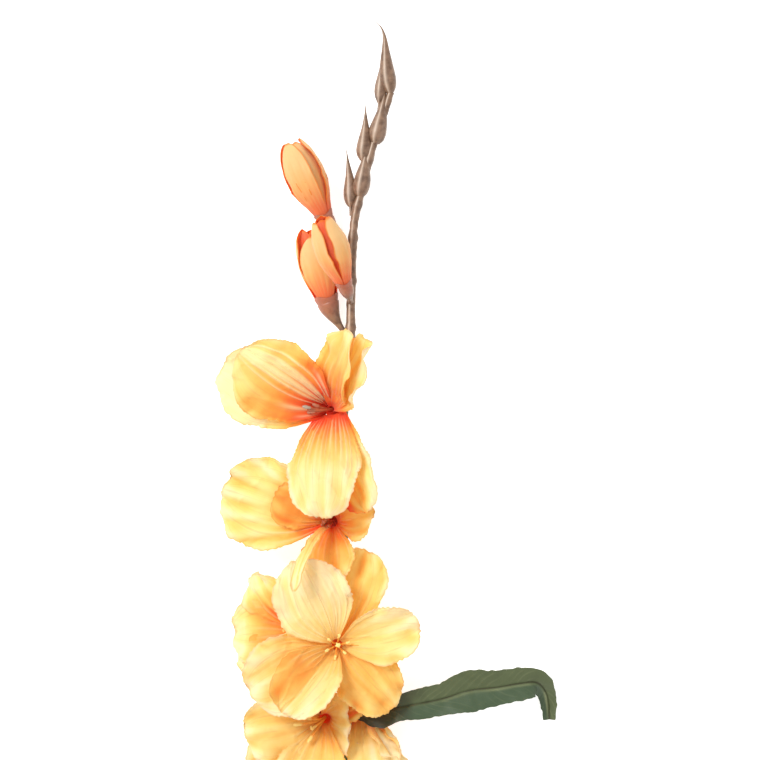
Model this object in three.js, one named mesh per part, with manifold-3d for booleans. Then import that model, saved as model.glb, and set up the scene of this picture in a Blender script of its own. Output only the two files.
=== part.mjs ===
// A cut gladiolus of the lasting kind: fabric petals on a wired stem, lying on its back on a flat surface.
// Six open blooms, three half-open buds and a tip of closed buds stand on one stem with two sword leaves.
// Millimetres, +Z up, +Y from the cut end towards the tip. The origin is on the surface, below the middle
// of the stem's straight resting stretch.
import * as THREE from "three";
import { mergeVertices } from "three/addons/utils/BufferGeometryUtils.js";
import Module from "manifold-3d";

const wasm = await Module();
wasm.setup();

// Driving dimensions
const CUT_END = -25; // y of the cut end
const REST_END = 62; // y where the stem starts to lift off the surface
const STEM_TOP = 535; // y where the green stem ends and the brown tip plugs on
const STEM_RADIUS = [3.4, 2.5]; // at the cut end and at the top
const GAP = 0.3; // clearance between touching pieces
const PETAL_THICKNESS = 0.8;
const LEAF_THICKNESS = 0.9;
const TUBE_LENGTH = 13; // the fused foot below a bloom's throat
const THROAT_RADIUS = 4.6;
const ROOT_RADIUS = 3.5; // how far from a bloom's axis its petals are rooted
const ROOT_DEPTH = 4; // how deep they sink into the foot
const FOOT_RADIUS = 2.6;
const BUD_TUBE = 7; // the fused foot below a half-open bud
const STEM_SIDES = 10;
const TIP_RADIUS = [2.7, 2.1]; // of the brown rachis, at its foot and at its end
const STALK_RADIUS = 1.6; // of a bloom's stalk where it leaves the stem
const DISC_RADIUS = 2.4; // of the disc that carries a bloom's stamens
const DISC_HEIGHT = 1.4;
const ROOT_SHARE = 0.17; // how much of its greatest width a petal has at its root

// The stem's axis: flat on the surface at the cut end, then lifted by the blooms.
const STEM_PATH = [
  [0, CUT_END, 0], [0, 5, 0], [0, 35, 0], [0, REST_END, 0], [0, 130, 1.8], [0, 200, 6], [0, 260, 10],
  [0, 330, 12], [-0.8, 400, 12], [-1.8, 450, 10], [-1.4, 495, 7.6], [2.9, STEM_TOP, 6.5],
];

// Each bloom: where its throat is, which way it faces, where its stalk leaves the stem, its stamens with the style
// last (each one's turn round the bloom, its lean from the bloom's axis and its length), and its six petals.
// small marks a short hidden petal, which needs fewer facets.
const BLOOMS = [
  {
    throat: [-8.6, 500, 42], facing: [-0.3, -0.12, 0.94], node: 472,
    stamens: [[165, 52, 18], [184, 60, 14], [150, 52, 12], [173, 60, 15]],
    petals: [
      { turn: 141, long: 66, wide: 50, open: [25, 88], ruffle: 2.2, cup: 12 },
      { turn: 278, long: 69, wide: 44, open: [28, 80], cup: -20, curl: 6, root: 0.34, widest: 0.55 },
      { turn: 50, long: 56, wide: 36, open: [42, 92], roll: -36, cup: 20, sway: 15, widest: 0.58 },
      { turn: 67, long: 58, wide: 35, open: [34, 88], roll: -42, cup: 30, root: 0.3 },
      { turn: 298, long: 64, wide: 29, open: [46, 88], cup: 10, root: 0.5 },
      { turn: 160, long: 67, wide: 46, open: [44, 98], root: 0.3 },
    ],
  },
  {
    throat: [-9, 435, 29], facing: [-0.33, -0.05, 0.94], node: 410,
    stamens: [[80, 12, 8], [200, 14, 7], [320, 14, 7], [110, 10, 9]],
    petals: [
      { turn: 161, long: 65, wide: 54, open: [40, 92], ruffle: 2.6, cup: 10 },
      { turn: 141, long: 38, wide: 32, open: [24, 76], cup: 26, ruffle: 1, widest: 0.7 },
      { turn: 18, long: 33, wide: 30, open: [36, 90], cup: 24 },
      { turn: 66, long: 31, wide: 26, open: [60, 110], small: true },
      { turn: 274, long: 34, wide: 34, open: [42, 96], root: 0.3 },
      { turn: 250, long: 64, wide: 8, open: [-10, 74], sway: 14, roll: 40, widest: 0.6, cup: 10, ruffle: 0.5 },
    ],
  },
  {
    throat: [-4.6, 365, 40], facing: [0.03, -0.03, 1], node: 338,
    stamens: [[20, 70, 9], [80, 60, 9], [140, 72, 8], [200, 62, 9], [260, 70, 9], [320, 60, 8], [70, 12, 7]],
    petals: [
      { turn: 120, long: 54, wide: 46, open: [54, 100], sway: -10, widest: 0.5 },
      { turn: 15, long: 48, wide: 33, open: [48, 100], crease: 12 },
      { turn: 230, long: 48, wide: 35, open: [45, 98], crease: 15, roll: 14 },
      { turn: 73, long: 54, wide: 36, open: [84, 112], cup: 2, roll: -12 },
      { turn: 313, long: 46, wide: 36, open: [62, 104], widest: 0.44, root: 0.24 },
      { turn: 208, long: 55, wide: 46, open: [62, 100] },
    ],
  },
  {
    throat: [-29, 371, 14.1], facing: [-0.78, 0.12, 0.62], node: 352,
    stamens: [[60, 12, 7], [180, 12, 6], [300, 12, 7], [200, 8, 8]],
    petals: [
      { turn: 182, long: 40, wide: 40, open: [25, 78] },
      { turn: 112, long: 42, wide: 32, open: [25, 80] },
      { turn: 238, long: 40, wide: 34, open: [25, 80] },
      { turn: 60, long: 24, wide: 20, open: [16, 50], small: true },
      { turn: 300, long: 24, wide: 20, open: [16, 50], small: true },
      { turn: 0, long: 22, wide: 18, open: [12, 45], small: true },
    ],
  },
  {
    throat: [-12.6, 320.6, 27], facing: [-0.2, -0.2, 0.96], node: 294,
    stamens: [[178, 58, 20], [236, 54, 17], [158, 62, 13], [205, 42, 11]],
    petals: [
      { turn: 185, long: 47, wide: 42, open: [35, 88] },
      { turn: 4, long: 20.5, wide: 38, open: [30, 60], cup: 2, ruffle: 0.6, root: 0.4, widest: 0.7 },
      { turn: 262, long: 52, wide: 42, open: [35, 88] },
      { turn: 222, long: 50, wide: 38, open: [55, 104] },
      { turn: 128, long: 32, wide: 28, open: [60, 110], small: true },
      { turn: 36, long: 24, wide: 20, open: [58, 100], small: true },
    ],
  },
  {
    throat: [12.5, 317, 14.5], facing: [0.18, -0.88, 0.42], node: 270,
    stamens: [[90, 2, 6], [210, 10, 7], [330, 10, 7], [30, 4, 8]],
    petals: [
      { turn: 84, long: 38, wide: 33, open: [2, 10], root: 0.56, cup: 22, ruffle: 0.8 },
      { turn: 18, long: 36, wide: 26, open: [4, 34], root: 0.3, small: true },
      { turn: 326, long: 36, wide: 26, open: [10, 50], small: true },
      { turn: 284, long: 38, wide: 26, open: [16, 66], small: true },
      { turn: 212, long: 16, wide: 12, open: [6, 14], small: true },
      { turn: 150, long: 18, wide: 12, open: [4, 12], small: true },
    ],
  },
];

// Half-open buds, from the highest down. node is where the stalk leaves the rachis, husk the radius of its cup,
// and open how far the outer petals lean from the bud's axis at their root and at their tip.
const HALF_OPEN = [
  {
    throat: [-15, 618, 18], facing: [-0.42, 0.9, 0.1], node: 588,
    long: 47, wide: 31, open: [38, -30], husk: 5,
  },
  {
    throat: [-2.5, 578, 28.5], facing: [-0.33, 0.9, 0.28], node: 562,
    long: 42, wide: 26, open: [38, -30], husk: 4.4,
  },
  {
    throat: [-12.5, 570, 9.2], facing: [-0.25, 0.97, 0], node: 540,
    long: 43, wide: 28, open: [32, -28], husk: 6.4,
  },
];

// The brown tip's rachis, and its closed buds: foot and point are each bud's ends, radius its thickest.
const TIP_PATH = [
  [2.9, 535.3, 9.7], [3, 560, 9.4], [3.8, 590, 10], [5.2, 611, 11], [8.4, 625, 12],
  [13, 643, 12], [16.6, 656, 12], [21, 668, 12], [26.2, 685, 12],
];
const CLOSED = [
  { foot: [26.2, 684, 12], point: [17.4, 725.5, 16], radius: 4.9 },
  { foot: [18.6, 668, 11], point: [23, 711, 12], radius: 3.8, bare: 11 },
  { foot: [17, 654.5, 12.5], point: [24.6, 688, 13], radius: 5.3 },
  { foot: [9.8, 642, 11.5], point: [13, 677.5, 11], radius: 4.7, bare: 3 },
  { foot: [8, 623.5, 12], point: [14, 658, 13], radius: 5.1 },
  { foot: [3.2, 613, 10], point: [1.8, 652, 9], radius: 4, bare: 5 },
];

// Leaves: each spine runs from the stem to the tip, with half the leaf's width at each of its points.
const LEAVES = [
  {
    spine: [
      [4, 327, 17.5, 5], [11, 326, 23.5, 7], [20, 325.5, 27, 9.6], [30, 328, 28, 7.8], [42, 330, 27, 9.4],
      [56, 332.5, 24, 9.6], [72, 337, 21, 12.6], [88, 338.6, 19, 10.6], [102, 340.6, 16, 9.8],
      [111.5, 340.6, 11.5, 8], [116.8, 335, 6, 5.8], [118.9, 327, 1.8, 4.9], [119.4, 316.5, -0.4, 3.4],
    ],
    crease: 16, ruffle: 1.4, waves: 4.2,
  },
  {
    spine: [
      [-2, 128, 4, 3], [-9, 142, 9, 5.5], [-22, 162, 14, 9], [-38, 185, 16, 11.5], [-56, 208, 14.5, 12.5],
      [-74, 230, 10.5, 11.5], [-90, 249, 5.5, 9], [-103, 265, 1.4, 5.5], [-113, 278, -0.5, 0.8],
    ],
    crease: 14, ruffle: 1.2, waves: 3.6,
  },
];

// Finishes
const finish = (name, color, roughness) =>
  new THREE.MeshStandardMaterial({ name, color, roughness, metalness: 0 });
const PETAL = finish("petal_fabric", "#fbd27c", 0.7);
const BUD = finish("bud_fabric", "#f9a45c", 0.65);
const STAMEN = finish("stamen_plastic", "#f3b75a", 0.5);
const HUSK = finish("husk_plastic", "#94705a", 0.45);
const GREEN = finish("stem_plastic", "#5c6b42", 0.5);
const LEAF = finish("leaf_fabric", "#4c5a38", 0.6);

const radians = THREE.MathUtils.degToRad;
const { lerp, smoothstep } = THREE.MathUtils;
const vector = (xyz) => new THREE.Vector3(...xyz);

// Mesh tools

// A closed indexed mesh as a solid.
function solidOf(geometry) {
  const merged = mergeVertices(geometry, 1e-4);
  const solid = new wasm.Manifold(
    new wasm.Mesh({
      numProp: 3,
      vertProperties: merged.attributes.position.array,
      triVerts: new Uint32Array(merged.index.array),
    }),
  );
  return solid.volume() < 0 ? solidOf(flipped(geometry)) : solid;
}

function flipped(geometry) {
  const index = geometry.index.array;
  for (let i = 0; i < index.length; i += 3) [index[i], index[i + 1]] = [index[i + 1], index[i]];
  return geometry;
}

// A solid's largest body as a geometry: a scrap cut loose by a join is dropped.
function geometryOf(solid) {
  const body = solid.decompose().reduce((a, b) => (b.volume() > a.volume() ? b : a));
  const mesh = body.getMesh();
  return new THREE.BufferGeometry()
    .setAttribute("position", new THREE.BufferAttribute(mesh.vertProperties, 3))
    .setIndex(new THREE.BufferAttribute(mesh.triVerts, 1));
}

function geometryFrom(points, triangles) {
  return new THREE.BufferGeometry().setFromPoints(points).setIndex(triangles);
}

const union = (solids) => wasm.Manifold.union(solids);

// A tapered round bar along a curve. Its first ring starts at `from`, so that flats can face a chosen way.
function bar(curve, radiusAt, { sides = 8, rings = 12, from = new THREE.Vector3(0, 0, 1), turn = 0 } = {}) {
  const points = [];
  const triangles = [];
  let side = from.clone();
  for (let i = 0; i <= rings; i++) {
    const t = i / rings;
    const along = curve.getTangent(t);
    side = side.addScaledVector(along, -side.dot(along)).normalize();
    const other = new THREE.Vector3().crossVectors(along, side);
    const centre = curve.getPoint(t);
    const reach = radiusAt(t);
    for (let k = 0; k < sides; k++) {
      const angle = (2 * Math.PI * (k + turn)) / sides;
      const point = centre.clone().addScaledVector(side, reach * Math.cos(angle));
      points.push(point.addScaledVector(other, reach * Math.sin(angle)));
    }
  }
  for (let i = 0; i < rings; i++)
    for (let k = 0; k < sides; k++) {
      const [a, b] = [i * sides + k, i * sides + ((k + 1) % sides)];
      triangles.push(a, b, b + sides, a, b + sides, a + sides);
    }
  const last = rings * sides;
  for (let k = 1; k < sides - 1; k++) triangles.push(0, k + 1, k, last, last + k, last + k + 1);
  return solidOf(geometryFrom(points, triangles));
}

const BLADE_END = 0.985; // a blade stops this far along its surface, short of where the width is nothing

// A closed thin blade round the surface at(t, s), with t from root to tip and s from -1 to 1 across. Its rows
// crowd towards the tip, where the outline turns fastest.
// No point of it goes below the surface that the flower lies on: there it bends and lies flat.
function blade(at, { rows, columns, thickness, floor = 0 }) {
  const half = thickness / 2;
  const middle = [];
  for (let i = 0; i <= rows; i++)
    for (let j = 0; j <= columns; j++) {
      const share = i / rows;
      const crowded = lerp(share, Math.sin((share * Math.PI) / 2), 0.6);
      const point = at(BLADE_END * crowded, (2 * j) / columns - 1);
      point.z = Math.max(point.z, floor + half);
      middle.push(point);
    }
  const cell = (i, j) => Math.min(Math.max(i, 0), rows) * (columns + 1) + Math.min(Math.max(j, 0), columns);
  const count = middle.length;
  const [upper, lower] = [[], []];
  for (let i = 0; i <= rows; i++)
    for (let j = 0; j <= columns; j++) {
      const along = middle[cell(i + 1, j)].clone().sub(middle[cell(i - 1, j)]);
      const across = middle[cell(i, j + 1)].clone().sub(middle[cell(i, j - 1)]);
      const normal = along.cross(across).normalize();
      upper.push(middle[cell(i, j)].clone().addScaledVector(normal, half));
      lower.push(middle[cell(i, j)].clone().addScaledVector(normal, -half));
    }
  const points = [...upper, ...lower];
  for (const point of points) point.z = Math.max(point.z, floor);
  const triangles = [];
  for (let i = 0; i < rows; i++)
    for (let j = 0; j < columns; j++) {
      const [a, b, c, d] = [cell(i, j), cell(i + 1, j), cell(i + 1, j + 1), cell(i, j + 1)];
      triangles.push(a, b, c, a, c, d, a + count, c + count, b + count, a + count, d + count, c + count);
    }
  const rim = [];
  for (let j = 0; j < columns; j++) rim.push(cell(0, j));
  for (let i = 0; i < rows; i++) rim.push(cell(i, columns));
  for (let j = columns; j > 0; j--) rim.push(cell(rows, j));
  for (let i = rows; i > 0; i--) rim.push(cell(i, 0));
  rim.forEach((a, k) => {
    const b = rim[(k + 1) % rim.length];
    triangles.push(a, b, b + count, a, b + count, a + count);
  });
  return solidOf(geometryFrom(points, triangles));
}

// Petals

const EDGE_SHIFT = 0.37; // how far a petal's right edge runs ahead of its left one, in waves

// The half width of a petal at t as a share of its widest: a narrow claw, then an oval.
function outline(t, widest, root) {
  if (t < widest) return root + (1 - root) * Math.sin(((t / widest) * Math.PI) / 2) ** 1.25;
  return Math.sqrt(Math.max(0, 1 - ((t - widest) / (1 - widest)) ** 2.3));
}

// The frame of a bloom: its throat, its axis, and the directions of 0 and 90 degrees round the axis.
function bloomFrame(throat, facing) {
  const axis = vector(facing).normalize();
  const right = new THREE.Vector3(1, 0, 0).addScaledVector(axis, -axis.x).normalize();
  return { throat: vector(throat), axis, right, up: new THREE.Vector3().crossVectors(axis, right) };
}

// A petal's middle surface. turn is its place round the bloom, long and wide its size, and open how far it leans
// from the bloom's axis at its root and at its tip. curl bends its last third further, sway bends it sideways,
// roll twists it, cup bends it across, crease folds it along its rib, and ruffle waves its edge in so many waves.
// widest is where along the petal it is widest, and root how wide its root is.
const PLAIN = { long: 60, wide: 42, open: [25, 80], curl: 0, sway: 0, roll: 0, cup: 20, crease: 0 };
const EDGE = { ruffle: 2, waves: 2.5, widest: 0.6, root: ROOT_SHARE };

function petalSurface({ throat, axis, right, up }, spec) {
  const p = { ...PLAIN, ...EDGE, ...spec };
  const turn = radians(p.turn);
  const radial = right.clone().multiplyScalar(Math.cos(turn)).addScaledVector(up, Math.sin(turn));
  const around = new THREE.Vector3().crossVectors(axis, radial);
  const heading = (t) => {
    const open = radians(lerp(p.open[0], p.open[1], t) + p.curl * smoothstep(t, 0.55, 1) ** 2);
    const sway = radians(p.sway) * t;
    const out = radial.clone().multiplyScalar(Math.sin(open)).addScaledVector(axis, Math.cos(open));
    return {
      along: out.clone().multiplyScalar(Math.cos(sway)).addScaledVector(around, Math.sin(sway)),
      across: around.clone().multiplyScalar(Math.cos(sway)).addScaledVector(out, -Math.sin(sway)),
    };
  };
  const steps = 24;
  const spine = [throat.clone().addScaledVector(axis, -ROOT_DEPTH).addScaledVector(radial, ROOT_RADIUS)];
  for (let i = 0; i < steps; i++)
    spine.push(spine[i].clone().addScaledVector(heading((i + 0.5) / steps).along, p.long / steps));
  return (t, s) => {
    const place = Math.min(t * steps, steps - 1e-6);
    const centre = spine[Math.floor(place)].clone().lerp(spine[Math.floor(place) + 1], place % 1);
    const { along, across } = heading(t);
    const inward = new THREE.Vector3().crossVectors(along, across);
    const roll = radians(p.roll) * smoothstep(t, 0, 0.7);
    const side = across.clone().multiplyScalar(Math.cos(roll)).addScaledVector(inward, Math.sin(roll));
    const face = inward.clone().multiplyScalar(Math.cos(roll)).addScaledVector(across, -Math.sin(roll));
    const half = (p.wide / 2) * outline(t, p.widest, p.root);
    const rootCup = (p.root * p.wide) / 2 / ROOT_RADIUS;
    const bend = lerp(rootCup, radians(p.cup), smoothstep(t, 0, 0.4)) || 1e-6;
    const reach = (half * Math.sin(bend * s)) / bend;
    const rise = (half * (1 - Math.cos(bend * s))) / bend + Math.tan(radians(p.crease)) * half * Math.abs(s);
    const edge = Math.abs(s) ** 2.5 * smoothstep(t, 0.15, 0.6);
    const wave = Math.sin(2 * Math.PI * (p.waves * t + (s > 0 ? EDGE_SHIFT : 0)));
    const frill = smoothstep(t, 0.7, 1) * Math.sin(2.6 * Math.PI * s);
    return centre
      .addScaledVector(side, reach)
      .addScaledVector(face, rise + p.ruffle * (edge * wave + 0.6 * frill));
  };
}

const restRadius = STEM_RADIUS[0] * Math.cos(Math.PI / STEM_SIDES);
const smooth = (points) => new THREE.CatmullRomCurve3(points, false, "centripetal");
const stemCurve = smooth(STEM_PATH.map(([x, y, z]) => new THREE.Vector3(x, y, z + restRadius)));
const stemRadius = (t) => (t < 0.2 ? STEM_RADIUS[0] : lerp(STEM_RADIUS[0], STEM_RADIUS[1], (t - 0.2) / 0.8));
const stemOptions = { sides: STEM_SIDES, rings: 30, from: new THREE.Vector3(0, 0, -1), turn: 0.5 };
const stem = bar(stemCurve, stemRadius, stemOptions);
const stemCutter = bar(stemCurve, (t) => stemRadius(t) + GAP, stemOptions);

// The point of a curve with the given y.
function pointAt(curve, y) {
  let best = curve.getPoint(0);
  for (let t = 0; t <= 1; t += 0.002) {
    const point = curve.getPoint(t);
    if (Math.abs(point.y - y) < Math.abs(best.y - y)) best = point;
  }
  return best;
}

const flower = new THREE.Group();
flower.name = "gladiolus";
function add(name, solid, material) {
  const mesh = new THREE.Mesh(geometryOf(solid), material);
  mesh.name = name;
  flower.add(mesh);
}

add("stem", stem, GREEN);

// A stalk from a point of a stem's axis to the foot of a bloom or bud, widening to the cup that it sits on.
function stalk(start, frame, depth, cup) {
  const end = frame.throat.clone().addScaledVector(frame.axis, -depth - GAP);
  const before = end.clone().addScaledVector(frame.axis, -0.3 * start.distanceTo(end));
  const path = new THREE.CubicBezierCurve3(start, start.clone().lerp(before, 0.5), before, end);
  return bar(path, (t) => lerp(STALK_RADIUS, cup, smoothstep(t, 0.3, 1)), { rings: 5, sides: 8 });
}

// The brown tip: a rachis, six closed buds and the husks of the half-open ones, moulded in one piece.
const tipCurve = smooth(TIP_PATH.map(vector));
function closedBud({ foot, point, radius, bare = 0 }) {
  const line = new THREE.LineCurve3(vector(foot), vector(point));
  const start = bare / line.getLength();
  const swell = (t) => {
    const share = Math.max(0, (t - start) / (1 - start));
    return Math.max(t < 0.5 ? 1 : 0.3, radius * Math.sin(Math.PI * Math.min(1, share ** 0.55)) ** 1.1);
  };
  return bar(line, swell, { rings: 8, sides: 7 });
}
const rachis = bar(tipCurve, (t) => lerp(...TIP_RADIUS, t), { rings: 14, sides: 7 });
const husks = HALF_OPEN.map((bud) =>
  stalk(pointAt(tipCurve, bud.node), bloomFrame(bud.throat, bud.facing), BUD_TUBE, bud.husk),
);
add("bud_tip", union([rachis, ...CLOSED.map(closedBud), ...husks]), HUSK);

HALF_OPEN.forEach((bud, index) => {
  const frame = bloomFrame(bud.throat, bud.facing);
  const [rootOpen, tipOpen] = bud.open;
  const parts = [0, 1, 2, 3, 4, 5].map((k) => {
    const outer = k % 2;
    const spec = outer
      ? { long: bud.long, wide: bud.wide, open: [rootOpen, tipOpen], cup: 55, root: 0.34 }
      : { long: bud.long - 5, wide: 11, open: [rootOpen - 14, tipOpen + 8], cup: 40, root: 0.5 };
    return blade(petalSurface(frame, { ruffle: 0.3, turn: 60 * k + 30, ...spec }), {
      rows: 5, columns: outer ? 3 : 2, thickness: PETAL_THICKNESS,
    });
  });
  const foot = new THREE.LineCurve3(
    frame.throat.clone().addScaledVector(frame.axis, -BUD_TUBE), frame.throat.clone(),
  );
  const swell = (t) => lerp(bud.husk - 0.4, THROAT_RADIUS + 1.6, t);
  parts.push(bar(foot, swell, { rings: 1, sides: 10, from: frame.right }));
  add(`bud_${index + 1}_petals`, union(parts), BUD);
});

// A bloom's stamens, and its style last, on a small disc that stands on the throat's floor.
function stamens({ throat, axis, right, up }, rods) {
  const disc = new THREE.LineCurve3(
    throat.clone().addScaledVector(axis, GAP), throat.clone().addScaledVector(axis, GAP + DISC_HEIGHT),
  );
  const parts = [bar(disc, () => DISC_RADIUS, { rings: 1, sides: 8, from: right })];
  const heading = (angle, tilt) =>
    right.clone().multiplyScalar(Math.cos(radians(angle)) * Math.sin(radians(tilt)))
      .addScaledVector(up, Math.sin(radians(angle)) * Math.sin(radians(tilt)))
      .addScaledVector(axis, Math.cos(radians(tilt)));
  rods.forEach(([turn, lean, long], k) => {
    const isStyle = k === rods.length - 1;
    const base = throat.clone()
      .addScaledVector(axis, GAP + DISC_HEIGHT / 2)
      .addScaledVector(heading(turn, 90), isStyle ? 0 : 1.1);
    const middle = base.clone().addScaledVector(heading(turn, lean * 0.45), long / 2);
    const end = middle.clone().addScaledVector(heading(turn, lean * 1.25), long / 2);
    const path = new THREE.QuadraticBezierCurve3(base, middle, end);
    const tip = (t) => (isStyle ? lerp(0.6, 1.2, smoothstep(t, 0.7, 1)) : lerp(0.5, 1, smoothstep(t, 0.6, 0.75)));
    parts.push(bar(path, tip, { rings: 4, sides: 4 }));
  });
  return union(parts);
}

BLOOMS.forEach((bloom, index) => {
  const frame = bloomFrame(bloom.throat, bloom.facing);
  const foot = new THREE.LineCurve3(
    frame.throat.clone().addScaledVector(frame.axis, -TUBE_LENGTH), frame.throat.clone(),
  );
  const parts = bloom.petals.map((spec) =>
    blade(petalSurface(frame, spec), {
      rows: spec.small ? 3 : 6, columns: spec.small ? 3 : 5, thickness: PETAL_THICKNESS,
    }),
  );
  const swell = (t) => lerp(FOOT_RADIUS, THROAT_RADIUS, t ** 0.7);
  parts.push(bar(foot, swell, { rings: 3, sides: 10, from: frame.right }));
  add(`bloom_${index + 1}_petals`, union(parts), PETAL);
  add(`bloom_${index + 1}_stamens`, stamens(frame, bloom.stamens), STAMEN);
  const stalkSolid = stalk(pointAt(stemCurve, bloom.node), frame, TUBE_LENGTH, FOOT_RADIUS + 0.8);
  add(`bloom_${index + 1}_calyx`, stalkSolid.subtract(stemCutter), GREEN);
});

// A leaf's middle surface: a keel along the spine, halves that rise from it, and a waved edge.
function leafSurface({ spine, crease, ruffle, waves }) {
  const path = smooth(spine.map(([x, y, z]) => new THREE.Vector3(x, y, z)));
  return (t, s) => {
    const along = path.getTangent(t);
    const across = new THREE.Vector3(along.y, -along.x, 0).normalize();
    const face = new THREE.Vector3().crossVectors(across, along);
    const place = Math.min(t * (spine.length - 1), spine.length - 1.000001);
    const half = lerp(spine[Math.floor(place)][3], spine[Math.floor(place) + 1][3], place % 1);
    const wave = Math.sin(2 * Math.PI * (waves * t + (s > 0 ? 0.3 : 0))) * s * s * Math.min(1, half / 6);
    return path.getPoint(t)
      .addScaledVector(across, half * s * Math.cos(radians(crease)))
      .addScaledVector(face, half * Math.abs(s) * Math.sin(radians(crease)) + ruffle * wave);
  };
}

LEAVES.forEach((leaf, index) => {
  const solid = blade(leafSurface(leaf), { rows: 18, columns: 4, thickness: LEAF_THICKNESS });
  add(`leaf_${index + 1}`, solid.subtract(stemCutter), LEAF);
});

export default flower;
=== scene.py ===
"""A cut gladiolus of the lasting kind, lying on its back on a pale surface.

Six open blooms and three half-open buds of printed polyester satin, a brown moulded tip of closed buds, and
two printed leaves stand on one plastic stem.

Lengths are in millimetres until a mesh is made, and angles in degrees. +Y runs from the cut end to the tip,
+Z up towards the camera. A petal's values t and s run from its root to its rim, and from its left edge (-1)
to its right edge (1).
"""

from __future__ import annotations

import logging
import math
from collections.abc import Sequence
from dataclasses import dataclass
from enum import Enum
from functools import cache

import bpy
import numpy as np
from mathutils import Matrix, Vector

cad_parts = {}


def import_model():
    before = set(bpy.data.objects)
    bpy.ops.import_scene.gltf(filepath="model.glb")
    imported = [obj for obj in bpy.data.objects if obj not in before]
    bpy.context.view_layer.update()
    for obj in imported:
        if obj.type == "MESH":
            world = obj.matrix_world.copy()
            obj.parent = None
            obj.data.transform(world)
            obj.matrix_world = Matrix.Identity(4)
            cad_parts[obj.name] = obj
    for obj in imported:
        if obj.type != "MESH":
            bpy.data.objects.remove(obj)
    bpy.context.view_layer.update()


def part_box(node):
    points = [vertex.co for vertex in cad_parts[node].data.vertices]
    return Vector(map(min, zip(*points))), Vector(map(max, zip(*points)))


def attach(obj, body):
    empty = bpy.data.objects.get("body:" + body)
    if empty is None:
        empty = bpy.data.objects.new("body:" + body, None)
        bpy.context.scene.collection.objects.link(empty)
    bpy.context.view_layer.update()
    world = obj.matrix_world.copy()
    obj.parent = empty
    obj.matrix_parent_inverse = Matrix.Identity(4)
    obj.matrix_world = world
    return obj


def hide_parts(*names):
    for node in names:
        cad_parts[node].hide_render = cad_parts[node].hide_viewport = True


Point = Sequence[float]
Array = np.ndarray
Tree = bpy.types.NodeTree
Socket = bpy.types.NodeSocket

MM = 0.001
ROOT_BODY = "root"
SHARP_ANGLE = 62  # folds sharper than this keep a crisp edge

# Sizes shared by the pieces
PETAL_THICKNESS = 0.4
LEAF_THICKNESS = 0.5
TUBE_LENGTH = 13  # the fused foot below a bloom's throat
THROAT_RADIUS = 4.6
FOOT_RADIUS = 2.6
ROOT_RADIUS = 3.5  # how far from a bloom's axis its petals are rooted
ROOT_DEPTH = 4  # how deep they sink into the foot
BUD_TUBE = 7  # the fused foot below a half-open bud
STALK_RADIUS = 1.6
GAP = 0.3
TIP_SHARE = 0.9985  # where a petal's grid ends, just short of the point in which its edges meet
TIP_CROWDING = 0.6  # how strongly its rows crowd towards its tip
CLAW_POWER = 1.25  # how slowly a petal widens from its narrow root
OVAL_POWER = 2.3  # how bluntly its tip is rounded
EDGE_WAVES = 2.5  # waves along each edge of a petal
EDGE_CROWDING = math.pi / 2 * 0.62  # how strongly a petal's columns crowd towards its edges
EDGE_SHIFT = 0.37  # how far a petal's right edge runs ahead of its left one, in waves
LEAF_SHIFT = 0.3  # the same for a leaf
# the pale parting line along this side of the brown moulding is partly a painted highlight
FLASH_HIGHLIGHT_SIDE = (-0.35, 0, 0.94)  # which side of the brown moulding its upper parting line runs along

log = logging.getLogger("gladiolus")


class Slot(Enum):
    """The material slots of the part's record."""

    PETAL = "petal_fabric"
    BUD = "bud_fabric"
    STAMEN = "stamen_plastic"
    HUSK = "husk_plastic"
    STEM = "stem_plastic"
    LEAF = "leaf_fabric"


# Small mathematics


def unit(vector: Point) -> Array:
    """Returns the vector at length 1."""
    array = np.asarray(vector, float)
    return array / np.linalg.norm(array)


def lerp(low: float, high: float, share: Array) -> Array:
    """Returns the value that lies the given share of the way from low to high."""
    return low + (high - low) * share


def smoothstep(value: Array, low: float, high: float) -> Array:
    """Returns 0 below low, 1 above high, and a smooth step between them."""
    share = np.clip((value - low) / (high - low), 0, 1)
    return share * share * (3 - 2 * share)


def normalised(vectors: Array) -> Array:
    """Returns each row of the last axis at length 1."""
    return vectors / np.maximum(np.linalg.norm(vectors, axis=-1, keepdims=True), 1e-12)


def column(values: Array) -> Array:
    """Returns the values with one more axis, to scale vectors with."""
    return np.asarray(values, float)[..., None]


def angles_round(sides: int) -> Array:
    """Returns the angle of each side of a ring, in radians."""
    return 2 * math.pi * np.arange(sides) / sides


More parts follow.
